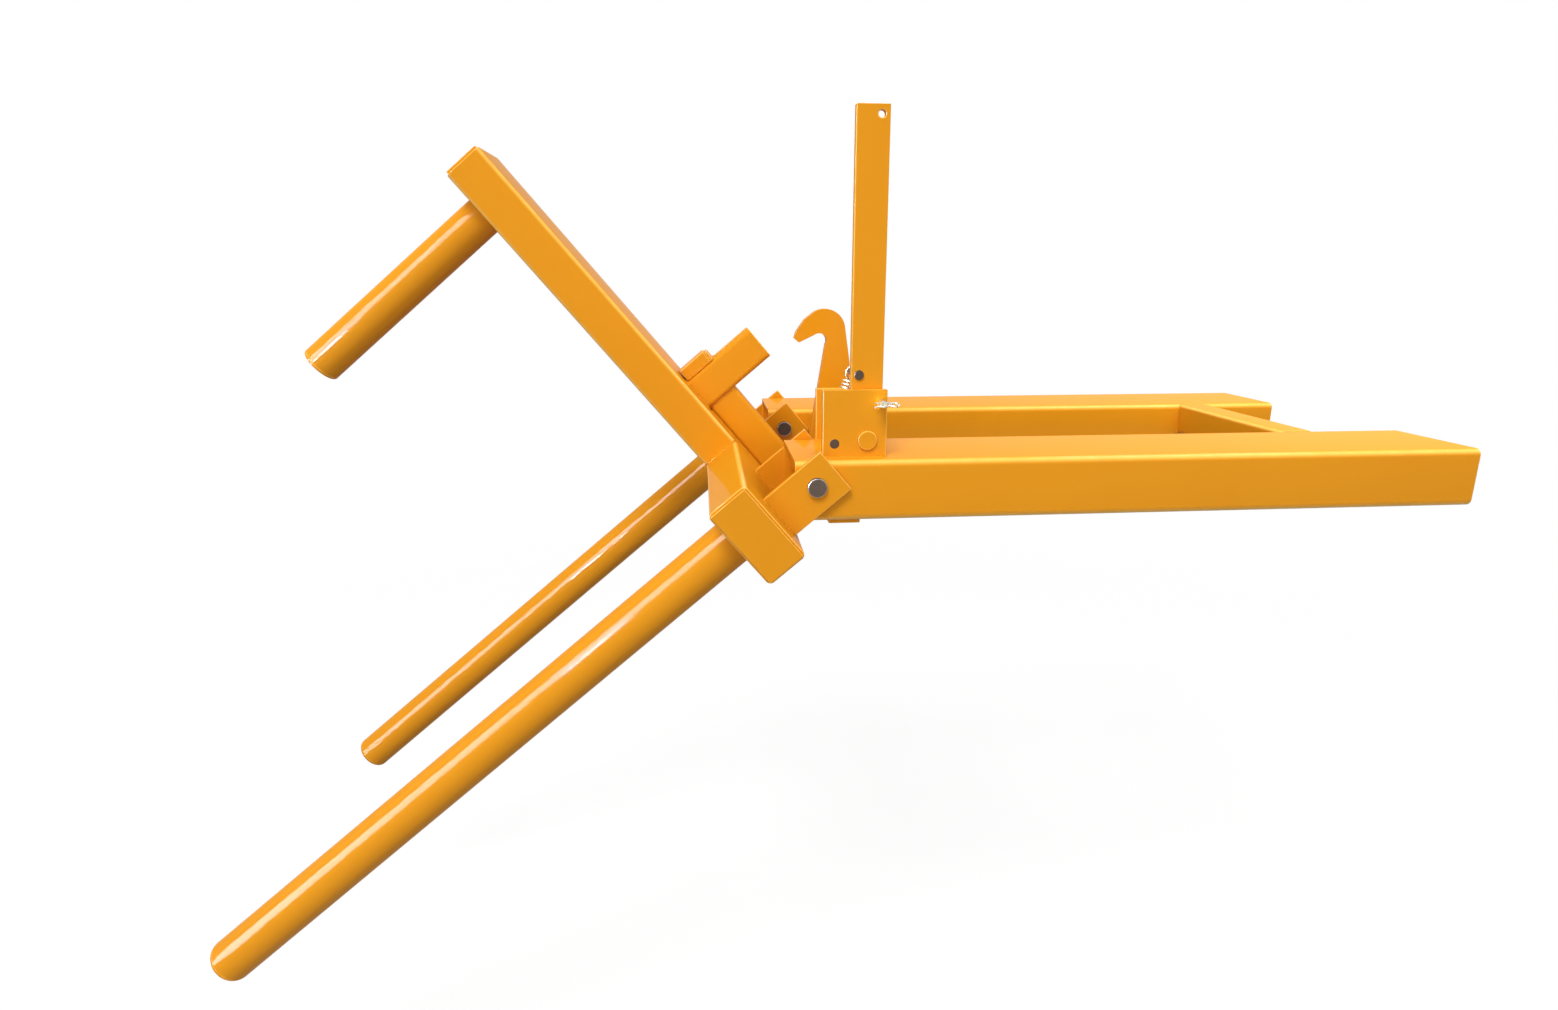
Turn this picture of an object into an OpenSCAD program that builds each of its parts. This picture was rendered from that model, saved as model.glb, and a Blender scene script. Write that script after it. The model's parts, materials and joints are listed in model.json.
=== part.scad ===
// Tipping drum handler for lift forks: two fork sleeves carry a cradle that tilts on two hinge
// pins, and a sprung hook on a cross shaft holds the cradle upright until its lever is pulled.
// X runs back along the sleeves, Y from left to right, Z up. The origin lies on the sleeves' middle
// height, midway between them, below the hinge pins. The cradle is drawn upright and then tilted.

/* [Fork sleeves] */
// Length of each sleeve
sleeve_len = 904.5; // [700:0.5:1200]
// Width across the outside of a sleeve
sleeve_w = 154; // [130:1:180]
// Height across the outside of a sleeve
sleeve_h = 77; // [66:1:90]
// Thickness of a sleeve's walls
sleeve_wall = 5; // [4:0.5:8]
// Outer corner radius of a sleeve
sleeve_corner = 9; // [7:0.5:12]
// Clear gap between the two sleeves
sleeve_gap = 277; // [220:1:360]
// How far a sleeve reaches in front of the hinge pins
sleeve_nose = 26; // [24:1:40]
// Height of the hinge pins above the middle of the sleeves
hinge_z = 8; // [0:0.5:10]

/* [Frame cross members] */
// Section of the square tubes between the sleeves
cross_size = 50; // [40:1:55]
// Wall of those tubes
cross_wall = 4; // [3:0.5:6]
// Front face of the front tube behind the hinge pins
front_cross_x = 66; // [62:0.5:80]
// Front face of the rear tube behind the hinge pins
rear_cross_x = 704.5; // [500:0.5:800]
// Thickness of the wear pad under each sleeve
pad_t = 6; // [4:0.5:8]
// Length of a wear pad along the sleeve
pad_len = 40; // [25:1:60]
// Start of the pads behind the hinge pins
pad_x = 18; // [10:1:40]
// Width of bare sleeve at each side of a pad
pad_side = 3; // [1:0.5:20]

/* [Hinges] */
// Diameter of the hinge pins
pin_d = 24; // [18:0.5:28]
// Radial running clearance of the pins and of the latch shaft
run_clear = 0.05; // [0.02:0.01:0.1]
// Outside diameter of the bush tube in each sleeve
bush_d = 34; // [32:0.5:40]
// Thickness of the lug plates
lug_t = 9; // [6:0.5:12]
// Gap between a lug and its sleeve
lug_gap = 0.5; // [0.3:0.1:1]
// Reach of the lugs past the pin, away from the cross tube
lug_back = 30.8; // [26:0.1:34]
// Lower edge of the lugs under the pin
lug_down = 30.1; // [20:0.1:31]
// Upper edge of the lugs over the pin
lug_up = 30.9; // [20:0.1:31]
// How far a pin stands out of the outer lug
pin_proud_out = 6; // [3:0.5:10]
// How far a pin stands out of the inner lug
pin_proud_in = 9; // [3:0.5:14]

/* [Cradle] */
// Tilt of the cradle as drawn, from upright
rest_tilt = 39.9; // [0:0.1:90]
// Back face of the cradle's tubes in front of the hinge pins
cradle_x = 60; // [56:0.5:70]
// Depth of the cross tube and of the post
cradle_depth = 57.8; // [50:0.1:70]
// Lower edge of the cross tube below the hinge pins
cross_tube_down = 45; // [38:0.5:46]
// Upper edge of the cross tube above the hinge pins
cross_tube_up = 69.6; // [60:0.1:80]
// Length of the cross tube
cross_tube_len = 699; // [640:1:800]
// Walls of the cradle's square tubes
cradle_wall = 5; // [4:0.5:6]
// Outer corner radius of those tubes
cradle_corner = 7; // [6.5:0.5:9]
// Thickness of the plates that close the tubes
cap_t = 4; // [3:0.5:6]
// Width of the tube ends left bare round those plates
cap_margin = 3; // [2.5:0.5:4]
// Rounding of the plate on the short tube's end
cap_edge = 2; // [1:0.5:2.5]
// Width of the post
post_w = 120.6; // [80:0.1:140]
// Top of the post above the hinge pins
post_top = 597; // [500:1:800]
// Outside diameter of the short tube near the top of the post
upper_d = 55; // [40:0.5:56]
// Wall of that tube
upper_wall = 4; // [3:0.5:6]
// Its length in front of the post
upper_len = 330; // [150:1:400]
// Height of its middle above the hinge pins
upper_z = 536.9; // [400:0.5:560]

/* [Tines] */
// Outside diameter of the tines
tine_d = 60.3; // [48:0.1:70]
// Wall of the tines
tine_wall = 5; // [3.5:0.5:6]
// Length of a tine in front of the cross tube
tine_len = 919.5; // [600:0.5:1100]
// Distance from the middle plane to a tine's axis
tine_y = 269.8; // [220:0.1:280]
// Height of the tines' axes above the hinge pins
tine_z = 7.7; // [0:0.1:30]
// Thickness of the rounded cap on a tine
tine_cap_t = 7; // [4:0.5:12]

/* [Catch stub] */
// Section of the stub that carries the catch pin
stub_size = 52; // [48:0.5:56]
// Wall of the stub
stub_wall = 5; // [4:0.5:6]
// Underside of the stub above the hinge pins
stub_z = 126; // [118:0.5:130]
// Reach of the stub behind the hinge pins
stub_reach = 60.5; // [58:0.5:70]
// Diameter of the catch pin across the stub
catch_d = 15; // [10:0.5:16]
// Distance of the catch pin behind the hinge pins
catch_x = 38; // [30:0.5:40]
// Room over the catch pin as it passes under the hook's nose
nose_clear = 1.5; // [0.8:0.1:3]
// Room at each side of the hook in the stub's slot
slot_side = 4; // [2:0.5:7]
// Room in front of the hook's nose in the stub's slot
slot_front = 10; // [4:0.5:14]
// Width of the brace behind the post
brace_w = 40; // [30:1:50]
// Depth of the brace
brace_depth = 50; // [30:1:52]
// Foot of the brace below the hinge pins
brace_down = 10; // [0:1:30]
// Height of the stop block on the stub
block_h = 17.5; // [10:0.5:20]
// Length of the stop block
block_len = 45; // [30:0.5:46]
// Width of the stop block
block_w = 48; // [40:1:50]
// Gap between the stop block and the post
block_gap = 2.4; // [1:0.1:4]
// Thickness of the plate on the stop block's end
block_plate_t = 4.5; // [2:0.5:5]
// How much lower that plate is than the block
block_plate_drop = 3; // [1:0.5:5]

/* [Latch plates] */
// Outer face of the outer latch plate from the middle plane
plate_y = 272.5; // [268:0.5:280]
// Thickness of both latch plates
plate_t = 10; // [8:0.5:12]
// Front edge of the outer plate behind the hinge pins
plate_x = 10; // [6:0.5:12]
// Rear edge of both plates behind the hinge pins
plate_rear = 90.5; // [90.5:0.5:100]
// Height of the outer plate above the sleeve
plate_h = 84; // [76:0.5:90]
// Outer face of the inner latch plate from the middle plane
inner_plate_y = 150; // [149:0.5:160]
// Front edge of the inner plate behind the hinge pins
inner_plate_x = 17.5; // [14:0.5:18]
// Height of the inner plate above the sleeve
inner_plate_h = 71; // [60:0.5:80]
// Thickness of the cheek plates beside the hook
cheek_t = 8; // [6:0.5:12]
// Gap between a cheek plate and the hook
cheek_gap = 1.5; // [0.5:0.1:4]
// Metal around the shaft in the cheek plates
cheek_rim = 8; // [6:0.5:12]
// Length of a cheek plate behind the shaft
cheek_back = 34; // [20:1:40]

/* [Latch] */
// Diameter of the latch shaft
shaft_d = 24; // [18:0.5:24]
// Latch shaft behind the hinge pins
shaft_x = 66; // [66:0.5:70]
// Latch shaft above the hinge pins
shaft_z = 52; // [52:0.5:56]
// How far the shaft's end stands out of the outer plate
shaft_proud = 4; // [2:0.5:8]
// Shaft length past the far cheek plate
shaft_tail = 6; // [3:0.5:12]
// Width of the release lever
lever_w = 40.5; // [36:0.5:42]
// Thickness of the release lever
lever_t = 10; // [8:0.5:12]
// Lever's top above the shaft
lever_len = 389; // [250:1:450]
// Gap between the lever and the outer plate
lever_gap = 1; // [0.5:0.1:3]
// Diameter of the rope hole
rope_hole_d = 8.6; // [6:0.1:10]
// Rope hole behind the lever's middle line
rope_hole_back = 10.2; // [0:0.1:11]
// Rope hole below the lever's top
rope_hole_drop = 10.8; // [9:0.1:30]
// Diameter of the spring peg and of the anchor pin
peg_d = 12; // [8:0.5:12]
// Spring peg in front of the lever's middle line
peg_fwd = 10.3; // [6:0.1:11]
// Spring peg above the shaft
peg_up = 79.5; // [78:0.5:95]
// How far the peg stands out of the lever
peg_proud = 2.5; // [1:0.5:4]
// Diameter of the collar on the shaft
collar_d = 36; // [30:0.5:38]
// Width of the collar
collar_w = 12; // [8:0.5:14]
// Place of the collar from the middle plane
collar_y = 114; // [60:1:116]

/* [Hook] */
// Thickness of the hook plate
hook_t = 16; // [10:0.5:18]
// Radius of the hook's crown
crown_r = 31.1; // [29:0.1:33]
// Centre of the crown in front of the shaft
crown_fwd = 17.5; // [16:0.1:19]
// Centre of the crown above the shaft
crown_up = 119.5; // [118:0.1:123]
// Radius of the throat
throat_r = 11.3; // [10.5:0.1:12]
// Centre of the throat in front of the shaft
throat_fwd = 26; // [25:0.1:27]
// Centre of the throat above the shaft
throat_up = 103.5; // [102:0.1:104]
// Lower corner of the nose in front of the shaft
nose_fwd = 56.4; // [52:0.1:57]
// Lower corner of the nose above the shaft
nose_up = 101.2; // [99:0.1:102]
// Reach of the hook's foot in front of the shaft
foot_fwd = 39.3; // [34:0.1:42]
// Foot of the hook below the shaft
foot_down = 44; // [34:0.5:46]
// Metal around the shaft in the hook
hook_rim = 8.2; // [6:0.1:8.8]
// Gap between the hook's heel and the front cross tube
heel_gap = 0.4; // [0.3:0.1:1]

/* [Spring] */
// Outside diameter of the spring
spring_d = 20; // [17:0.5:22]
// Diameter of the spring's wire
spring_wire = 2.4; // [1.6:0.1:2.6]
// Number of curls
spring_curls = 15; // [8:1:18]
// Middle of the spring from the middle plane
spring_y = 225.5; // [220:0.5:236]
// Anchor pin behind the hinge pins
anchor_x = 25.2; // [24:0.1:30]
// Anchor pin above the hinge pins
anchor_z = 47.7; // [44:0.1:52]
// Slack between a spring eye and its pin
eye_slack = 0.3; // [0.2:0.05:0.6]
// Diameter of the spacer on the anchor pin
spacer_d = 16; // [16:0.5:24]
// Gap between the spacer and the spring
spacer_gap = 2; // [1:0.5:6]

/* [Clip] */
// Diameter of the clip post on the outer plate
clip_post_d = 8; // [6:0.5:9]
// Clip post behind the hinge pins
clip_x = 82; // [80:0.5:84]
// Clip post above the hinge pins
clip_z = 99.3; // [95:0.1:102]
// How far the clip post stands out of the outer plate
clip_post_len = 17; // [14:0.5:24]
// Diameter of the clip's wire
clip_wire = 2.8; // [2:0.1:3.2]
// Clearance around the clip in the post
clip_clear = 0.15; // [0.1:0.05:0.3]
// Distance of the clip from the outer plate
clip_off = 10; // [7:0.5:12]
// Radius of the clip's round eye
clip_eye_r = 5.2; // [4:0.1:6]
// Straight reach of the clip on each side of the post
clip_reach = 9; // [8:0.5:12]
// How far the clip's eye hangs down from level
clip_tilt = 17; // [0:1:30]

/* [Hidden] */

$fn = 72;
eps = 1;
paint = "orange";
dark_steel = "dimgray";
zinc = "silver";

// Frame places
sleeve_top = sleeve_h / 2;
sleeve_in_y = sleeve_gap / 2;
sleeve_out_y = sleeve_in_y + sleeve_w;
sleeve_mid_y = sleeve_in_y + sleeve_w / 2;
cross_z = sleeve_top - cross_size / 2;
cross_corner = cross_wall + 2;

// Cradle places, upright, measured from the hinge axis with +X to the back
cradle_front = -cradle_x - cradle_depth;
lug_len = cradle_x + lug_back;
outer_lug_y = sleeve_out_y + lug_gap;
inner_lug_y = sleeve_in_y - lug_gap - lug_t;
cross_tube_h = cross_tube_up + cross_tube_down;
open_cross_len = cross_tube_len - 2 * cap_t;
open_upper_len = upper_len - cap_t;
tube_tine_len = tine_len - tine_cap_t;
stub_top = stub_z + stub_size;

// Latch places from the hinge axis
lever_y = -plate_y + plate_t + lever_gap;
heel_x = front_cross_x - heel_gap;
nose_x = shaft_x - nose_fwd;
nose_z = shaft_z + nose_up;
catch_r = catch_d / 2;
catch_z = sqrt(pow(norm([nose_x, nose_z]) - nose_clear - catch_r, 2) - pow(catch_x, 2));
tip_run = 7.3;
tip_rise = 6.3;
brow_run = 4;
brow_rise = 16.4;
brow_top_run = 8.2;
brow_top_rise = 33.6;
tip_x = nose_x - tip_run;
slot_half = hook_t / 2 + slot_side;
cheek_y = hook_t / 2 + cheek_gap;
shaft_start = -plate_y - shaft_proud;
shaft_end = cheek_y + cheek_t + shaft_tail;
peg_x = shaft_x - peg_fwd;
peg_z = shaft_z + peg_up;
pin_end = -spring_y + spring_d / 2 + 2;
clip_y = -plate_y - clip_off;

// Puts a shape drawn from the hinge axis in its place
module at_hinge() {
    translate([0, 0, hinge_z]) children();
}

// Tilts a shape drawn on the upright cradle
module on_cradle() {
    at_hinge() rotate([0, -rest_tilt, 0]) children();
}

// Draws a left piece as it is, or its mirror image on the right
module on_side(right) {
    if (right) mirror([0, 1, 0]) children();
    else children();
}

// A plate across Y, from an outline in X and Z
module plate(y, t) {
    translate([0, y + t, 0]) rotate([90, 0, 0]) linear_extrude(t) children();
}

// A section in Y and Z drawn out along X
module run_x(x, len) {
    translate([x, 0, 0]) rotate([90, 0, 90]) linear_extrude(len) children();
}

// A round bar along Y
module rod(x, z, d, y, len) {
    translate([x, y + len, z]) rotate([90, 0, 0]) cylinder(d = d, h = len);
}

// A round bar from the upright cradle's front face forwards
module bar_forward(y, z, d, start, len) {
    translate([cradle_front - start, y, z]) rotate([0, -90, 0]) cylinder(d = d, h = len);
}

module rounded(w, h, r) {
    square([w - 2 * r, h], center = true);
    square([w, h - 2 * r], center = true);
    for (x = [-1, 1], y = [-1, 1])
        translate([x * (w / 2 - r), y * (h / 2 - r)]) circle(r = r);
}

module box_section(w, h, wall, r) {
    difference() {
        rounded(w, h, r);
        rounded(w - 2 * wall, h - 2 * wall, r - wall);
    }
}

module fork_sleeve(right) {
    color(paint) on_side(right) difference() {
        run_x(-sleeve_nose, sleeve_len) translate([-sleeve_mid_y, 0])
            box_section(sleeve_w, sleeve_h, sleeve_wall, sleeve_corner);
        at_hinge() rod(0, 0, bush_d, -sleeve_out_y - eps, sleeve_w + 2 * eps);
    }
}

module left_fork_sleeve() { fork_sleeve(false); }

module right_fork_sleeve() { fork_sleeve(true); }

module hinge_bush(right) {
    bore = pin_d + 2 * run_clear;
    color(paint) on_side(right) at_hinge() difference() {
        rod(0, 0, bush_d, -sleeve_out_y, sleeve_w);
        rod(0, 0, bore, -sleeve_out_y - eps, sleeve_w + 2 * eps);
    }
}

module left_hinge_bush() { hinge_bush(false); }

module right_hinge_bush() { hinge_bush(true); }

module frame_cross(x) {
    color(paint) translate([x + cross_size / 2, sleeve_in_y, cross_z])
        rotate([90, 0, 0]) linear_extrude(sleeve_gap)
            box_section(cross_size, cross_size, cross_wall, cross_corner);
}

module front_cross_tube() { frame_cross(front_cross_x); }

module rear_cross_tube() { frame_cross(rear_cross_x); }

module wear_pad(right) {
    pad_w = sleeve_w - 2 * pad_side - 2 * sleeve_corner;
    color(paint) on_side(right)
        translate([pad_x, -sleeve_mid_y - pad_w / 2, -sleeve_top - pad_t])
            cube([pad_len, pad_w, pad_t]);
}

module left_wear_pad() { wear_pad(false); }

module right_wear_pad() { wear_pad(true); }

// An outline standing on the sleeves' top, from X to X, drawn from the hinge axis
module standing(x0, x1, h) {
    translate([x0, sleeve_top - hinge_z]) square([x1 - x0, h]);
}

module outer_latch_plate() {
    color(paint) at_hinge() plate(-plate_y, plate_t) difference() {
        standing(plate_x, plate_rear, plate_h);
        translate([anchor_x, anchor_z]) circle(d = peg_d);
        translate([shaft_x, shaft_z]) circle(d = shaft_d + 2 * run_clear);
        translate([clip_x, clip_z]) circle(d = clip_post_d);
    }
}

module inner_latch_plate() {
    color(paint) at_hinge() plate(-inner_plate_y, plate_t) difference() {
        standing(inner_plate_x, plate_rear, inner_plate_h);
        translate([shaft_x, shaft_z]) circle(d = shaft_d + 2 * run_clear);
    }
}

module hook_cheek(right) {
    rim = shaft_d / 2 + cheek_rim;
    color(paint) on_side(right) at_hinge() plate(-cheek_y - cheek_t, cheek_t) difference() {
        union() {
            translate([shaft_x, shaft_z]) circle(r = rim);
            standing(shaft_x, shaft_x + cheek_back, shaft_z + rim - sleeve_top + hinge_z);
        }
        translate([shaft_x, shaft_z]) circle(d = shaft_d + 2 * run_clear);
    }
}

module left_hook_cheek() { hook_cheek(false); }

module right_hook_cheek() { hook_cheek(true); }

module spring_anchor_pin() {
    color(dark_steel) at_hinge()
        rod(anchor_x, anchor_z, peg_d, -plate_y, pin_end + plate_y);
}

module anchor_spacer() {
    start = -plate_y + plate_t;
    len = -spring_y - spring_d / 2 - spacer_gap - start;
    color(paint) at_hinge() difference() {
        rod(anchor_x, anchor_z, spacer_d, start, len);
        rod(anchor_x, anchor_z, peg_d, start - eps, len + 2 * eps);
    }
}

// The cross hole takes the clip's straight leg
module clip_post() {
    color(zinc) at_hinge() difference() {
        rod(clip_x, clip_z, clip_post_d, -plate_y - clip_post_len, clip_post_len + plate_t);
        translate([clip_x - clip_post_d, clip_y, clip_z]) rotate([0, 90, 0])
            cylinder(d = clip_wire + 2 * clip_clear, h = 2 * clip_post_d);
    }
}

// Wires: a tube of the given radius and sides along a list of points
function unit(v) = v / norm(v);
function last(v) = v[len(v) - 1];
function reversed(v) = [for (i = [len(v) - 1:-1:0]) v[i]];
function tangents(p) = [
    for (i = [0:len(p) - 1]) unit(p[min(i + 1, len(p) - 1)] - p[max(i - 1, 0)])
];
function square_to(n, t) = unit(n - (n * t) * t);
function carried(t, n) = [
    for (i = 0, m = square_to(n, t[0]); i < len(t);
        i = i + 1, m = i < len(t) ? square_to(m, t[i]) : m) m
];
function wire_points(p, t, n, r, sides) = [
    for (i = [0:len(p) - 1], k = [0:sides - 1])
        p[i] + r * (cos(360 * k / sides) * n[i] + sin(360 * k / sides) * cross(t[i], n[i]))
];
function wire_faces(rings, sides) = concat(
    [for (k = [1:sides - 2]) [0, k, k + 1]],
    [for (i = [0:rings - 2], k = [0:sides - 1])
        [i * sides + k, (i + 1) * sides + k, (i + 1) * sides + (k + 1) % sides]],
    [for (i = [0:rings - 2], k = [0:sides - 1])
        [i * sides + k, (i + 1) * sides + (k + 1) % sides, i * sides + (k + 1) % sides]],
    [for (k = [1:sides - 2])
        [(rings - 1) * sides, (rings - 1) * sides + k + 1, (rings - 1) * sides + k]]
);
function bezier(a, b, c, d, n) = [
    for (i = [1:n - 1], s = i / n)
        pow(1 - s, 3) * a + 3 * pow(1 - s, 2) * s * b + 3 * (1 - s) * s * s * c + pow(s, 3) * d
];

module wire(p, d, sides, start_normal) {
    t = tangents(p);
    n = carried(t, start_normal);
    polyhedron(wire_points(p, t, n, d / 2, sides), wire_faces(len(p), sides));
}

// The clip's straight leg goes through the post, and its bowed leg clasps the post's end
clip_leg_gap = clip_post_d / 2 + clip_wire / 2 + 0.4;
clip_eye_x = clip_reach + clip_eye_r;
clip_bow = (clip_post_len - clip_off + clip_wire / 2 + 0.4) / cos(clip_tilt);
clip_rise = 1.5;
clip_points = concat(
    [[-clip_reach, 0, 0], [-clip_reach + clip_wire, 0, 0], [clip_reach, 0, 0]],
    [for (a = [75:-30:-225]) [clip_eye_x + clip_eye_r * cos(a), -clip_eye_r * (1 - sin(a)), 0]],
    [
        [clip_leg_gap + 1, -clip_bow * 0.8, 0],
        [clip_leg_gap - 2, -clip_bow, 0],
        [0, -clip_bow - clip_rise, 0],
        [-clip_leg_gap + 1, -clip_bow, 0],
        [-clip_leg_gap - 1, -clip_bow, 0],
        [-clip_leg_gap - 3, -clip_bow - clip_rise, 0],
        [-clip_leg_gap - 5.4, -clip_bow - 2 * clip_rise, 0]
    ]
);

module hairpin_clip() {
    color(zinc) at_hinge() translate([clip_x, clip_y, clip_z]) rotate([clip_tilt, 0, 0])
        wire(clip_points, clip_wire, 8, [0, 0, 1]);
}

module latch_shaft() {
    color(paint) at_hinge() rod(shaft_x, shaft_z, shaft_d, shaft_start, shaft_end - shaft_start);
}

module shaft_collar() {
    color(paint) at_hinge() difference() {
        rod(shaft_x, shaft_z, collar_d, -collar_y - collar_w, collar_w);
        rod(shaft_x, shaft_z, shaft_d, -collar_y - collar_w - eps, collar_w + 2 * eps);
    }
}

// Hook outline from the shaft, with forwards to the left
rim_r = shaft_d / 2 + hook_rim;
heel = heel_x - shaft_x;
rear_edge = 22;
knee_up = 70.9;
crown_side = -crown_fwd + crown_r * cos(12);
throat_side = -throat_fwd + throat_r - 1.2;
throat_low = throat_up - throat_r / 3;
nose_lap = throat_r - 0.2;
nose_line = [-throat_fwd - nose_lap * sin(27), throat_up + nose_lap * cos(27)];

module hook_outline() {
    difference() {
        union() {
            translate([-crown_fwd, crown_up]) circle(r = crown_r);
            circle(r = rim_r);
            polygon([
                [-nose_fwd - tip_run, nose_up + tip_rise],
                [-nose_fwd - brow_run, nose_up + brow_rise],
                [-nose_fwd + brow_top_run, nose_up + brow_top_rise],
                [-crown_fwd - crown_r * cos(46), crown_up + crown_r * sin(46)],
                [-crown_fwd, crown_up],
                nose_line,
                [-nose_fwd, nose_up]
            ]);
            polygon([
                [throat_side, throat_low],
                [-foot_fwd, -foot_down],
                [heel, -foot_down],
                [heel, -rim_r / 2],
                [rim_r, 0],
                [rear_edge, rim_r / 2],
                [rear_edge - 0.8, knee_up],
                [crown_side, crown_up + crown_r * sin(12)],
                [-crown_fwd, crown_up]
            ]);
        }
        translate([-throat_fwd, throat_up]) circle(r = throat_r);
        polygon([
            [-throat_fwd, throat_up],
            nose_line,
            [-nose_fwd, nose_up],
            [-nose_fwd, nose_up - throat_r],
            [-foot_fwd - throat_r, -foot_down],
            [-foot_fwd, -foot_down],
            [throat_side, throat_low]
        ]);
        circle(d = shaft_d);
    }
}

module latch_hook() {
    color(paint) at_hinge() translate([shaft_x, 0, shaft_z])
        plate(-hook_t / 2, hook_t) hook_outline();
}

module release_lever() {
    color(paint) at_hinge() plate(lever_y, lever_t) translate([shaft_x, shaft_z]) difference() {
        union() {
            circle(d = lever_w);
            translate([-lever_w / 2, 0]) square([lever_w, lever_len]);
        }
        circle(d = shaft_d);
        translate([-peg_fwd, peg_up]) circle(d = peg_d);
        translate([rope_hole_back, lever_len - rope_hole_drop]) circle(d = rope_hole_d);
    }
}

module spring_peg() {
    color(dark_steel) at_hinge()
        rod(peg_x, peg_z, peg_d, lever_y - peg_proud, pin_end - lever_y + peg_proud);
}

// Spring path: a along the line from anchor pin to peg, b square to it in the plane of the lever
coil_r = (spring_d - spring_wire) / 2;
eye_r = coil_r + 0.6;
eye_in = eye_r - spring_wire / 2;
eye_shift = eye_in - peg_d / 2 - eye_slack;
spring_span = norm([peg_x - anchor_x, peg_z - anchor_z]);
spring_a = [peg_x - anchor_x, 0, peg_z - anchor_z] / spring_span;
spring_b = cross([0, 1, 0], spring_a);
eye_a = spring_span - eye_shift;
neck = eye_r + 0.2;
coil_end = eye_a - neck;
coil_start = spring_span - coil_end;
coil_pitch = (coil_end - coil_start) / spring_curls;
curl_rings = 8;
eye_end = 335;
eye_points = [
    for (s = [90:(eye_end - 90) / 10:eye_end]) [eye_a - eye_r * cos(s), eye_r * sin(s), 0]
];
eye_way = unit(last(eye_points) - eye_points[len(eye_points) - 2]);
upper_end = concat(
    bezier([coil_end, coil_r, 0], [coil_end + 1, coil_r, neck * 0.5],
        [eye_a - neck * 0.6, eye_r, 0], eye_points[0], 5),
    eye_points,
    [last(eye_points) + spring_wire * eye_way]
);
coil_points = [
    for (i = [0:spring_curls * curl_rings], s = 360 * i / curl_rings)
        [coil_start + coil_pitch * i / curl_rings, coil_r * cos(s), coil_r * sin(s)]
];
lower_end = [for (q = reversed(upper_end)) [spring_span - q[0], q[1], -q[2]]];
spring_local = concat(lower_end, coil_points, upper_end);
spring_points = [
    for (q = spring_local)
        [anchor_x, -spring_y, anchor_z] + q[0] * spring_a + q[1] * spring_b + [0, q[2], 0]
];
near_rings = 6;
spring_gap = min([
    for (i = [0:len(spring_points) - 1 - near_rings], j = [i + near_rings:len(spring_points) - 1])
        norm(spring_points[i] - spring_points[j])
]) - spring_wire;

module latch_spring() {
    echo(least_gap_between_curls = spring_gap);
    color(zinc) at_hinge() wire(spring_points, spring_wire, 6, spring_a);
}

module cradle_cross_tube() {
    color(paint) on_cradle()
        translate([-cradle_x - cradle_depth / 2, open_cross_len / 2, cross_tube_up - cross_tube_h / 2])
            rotate([90, 0, 0]) linear_extrude(open_cross_len)
                box_section(cradle_depth, cross_tube_h, cradle_wall, cradle_corner);
}

// The plate on a square tube's end leaves a margin of the tube bare
module end_plate(w, h) {
    square([w - 2 * cap_margin, h - 2 * cap_margin], center = true);
}

module cross_tube_cap(right) {
    color(paint) on_side(right) on_cradle() plate(-cross_tube_len / 2, cap_t)
        translate([-cradle_x - cradle_depth / 2, cross_tube_up - cross_tube_h / 2])
            end_plate(cradle_depth, cross_tube_h);
}

module left_cross_tube_cap() { cross_tube_cap(false); }

module right_cross_tube_cap() { cross_tube_cap(true); }

module cradle_post() {
    color(paint) on_cradle() translate([-cradle_x - cradle_depth / 2, 0, cross_tube_up])
        linear_extrude(post_top - cap_t - cross_tube_up)
            box_section(cradle_depth, post_w, cradle_wall, cradle_corner);
}

module post_cap() {
    color(paint) on_cradle() translate([-cradle_x - cradle_depth / 2, 0, post_top - cap_t])
        linear_extrude(cap_t) end_plate(cradle_depth, post_w);
}

module upper_tube() {
    color(paint) on_cradle() difference() {
        bar_forward(0, upper_z, upper_d, 0, open_upper_len);
        bar_forward(0, upper_z, upper_d - 2 * upper_wall, -eps, open_upper_len + 2 * eps);
    }
}

module upper_tube_cap() {
    flat_r = upper_d / 2 - cap_edge;
    color(paint) on_cradle()
        translate([cradle_front - open_upper_len, 0, upper_z]) rotate([0, -90, 0])
            rotate_extrude() union() {
                square([flat_r, cap_t]);
                square([upper_d / 2, cap_t - cap_edge]);
                translate([flat_r, cap_t - cap_edge]) intersection() {
                    circle(r = cap_edge);
                    square([upper_d / 2, cap_edge]);
                }
            }
}

module tine(right) {
    color(paint) on_side(right) on_cradle() difference() {
        bar_forward(-tine_y, tine_z, tine_d, 0, tube_tine_len);
        bar_forward(-tine_y, tine_z, tine_d - 2 * tine_wall, -eps, tube_tine_len + 2 * eps);
    }
}

module left_tine() { tine(false); }

module right_tine() { tine(true); }

module tine_cap(right) {
    flat_r = tine_d / 2 - tine_cap_t;
    color(paint) on_side(right) on_cradle()
        translate([cradle_front - tube_tine_len, -tine_y, tine_z]) rotate([0, -90, 0])
            rotate_extrude() union() {
                square([flat_r, tine_cap_t]);
                intersection() {
                    translate([flat_r, 0]) circle(r = tine_cap_t);
                    square([tine_d / 2, tine_cap_t]);
                }
            }
}

module left_tine_cap() { tine_cap(false); }

module right_tine_cap() { tine_cap(true); }

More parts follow.
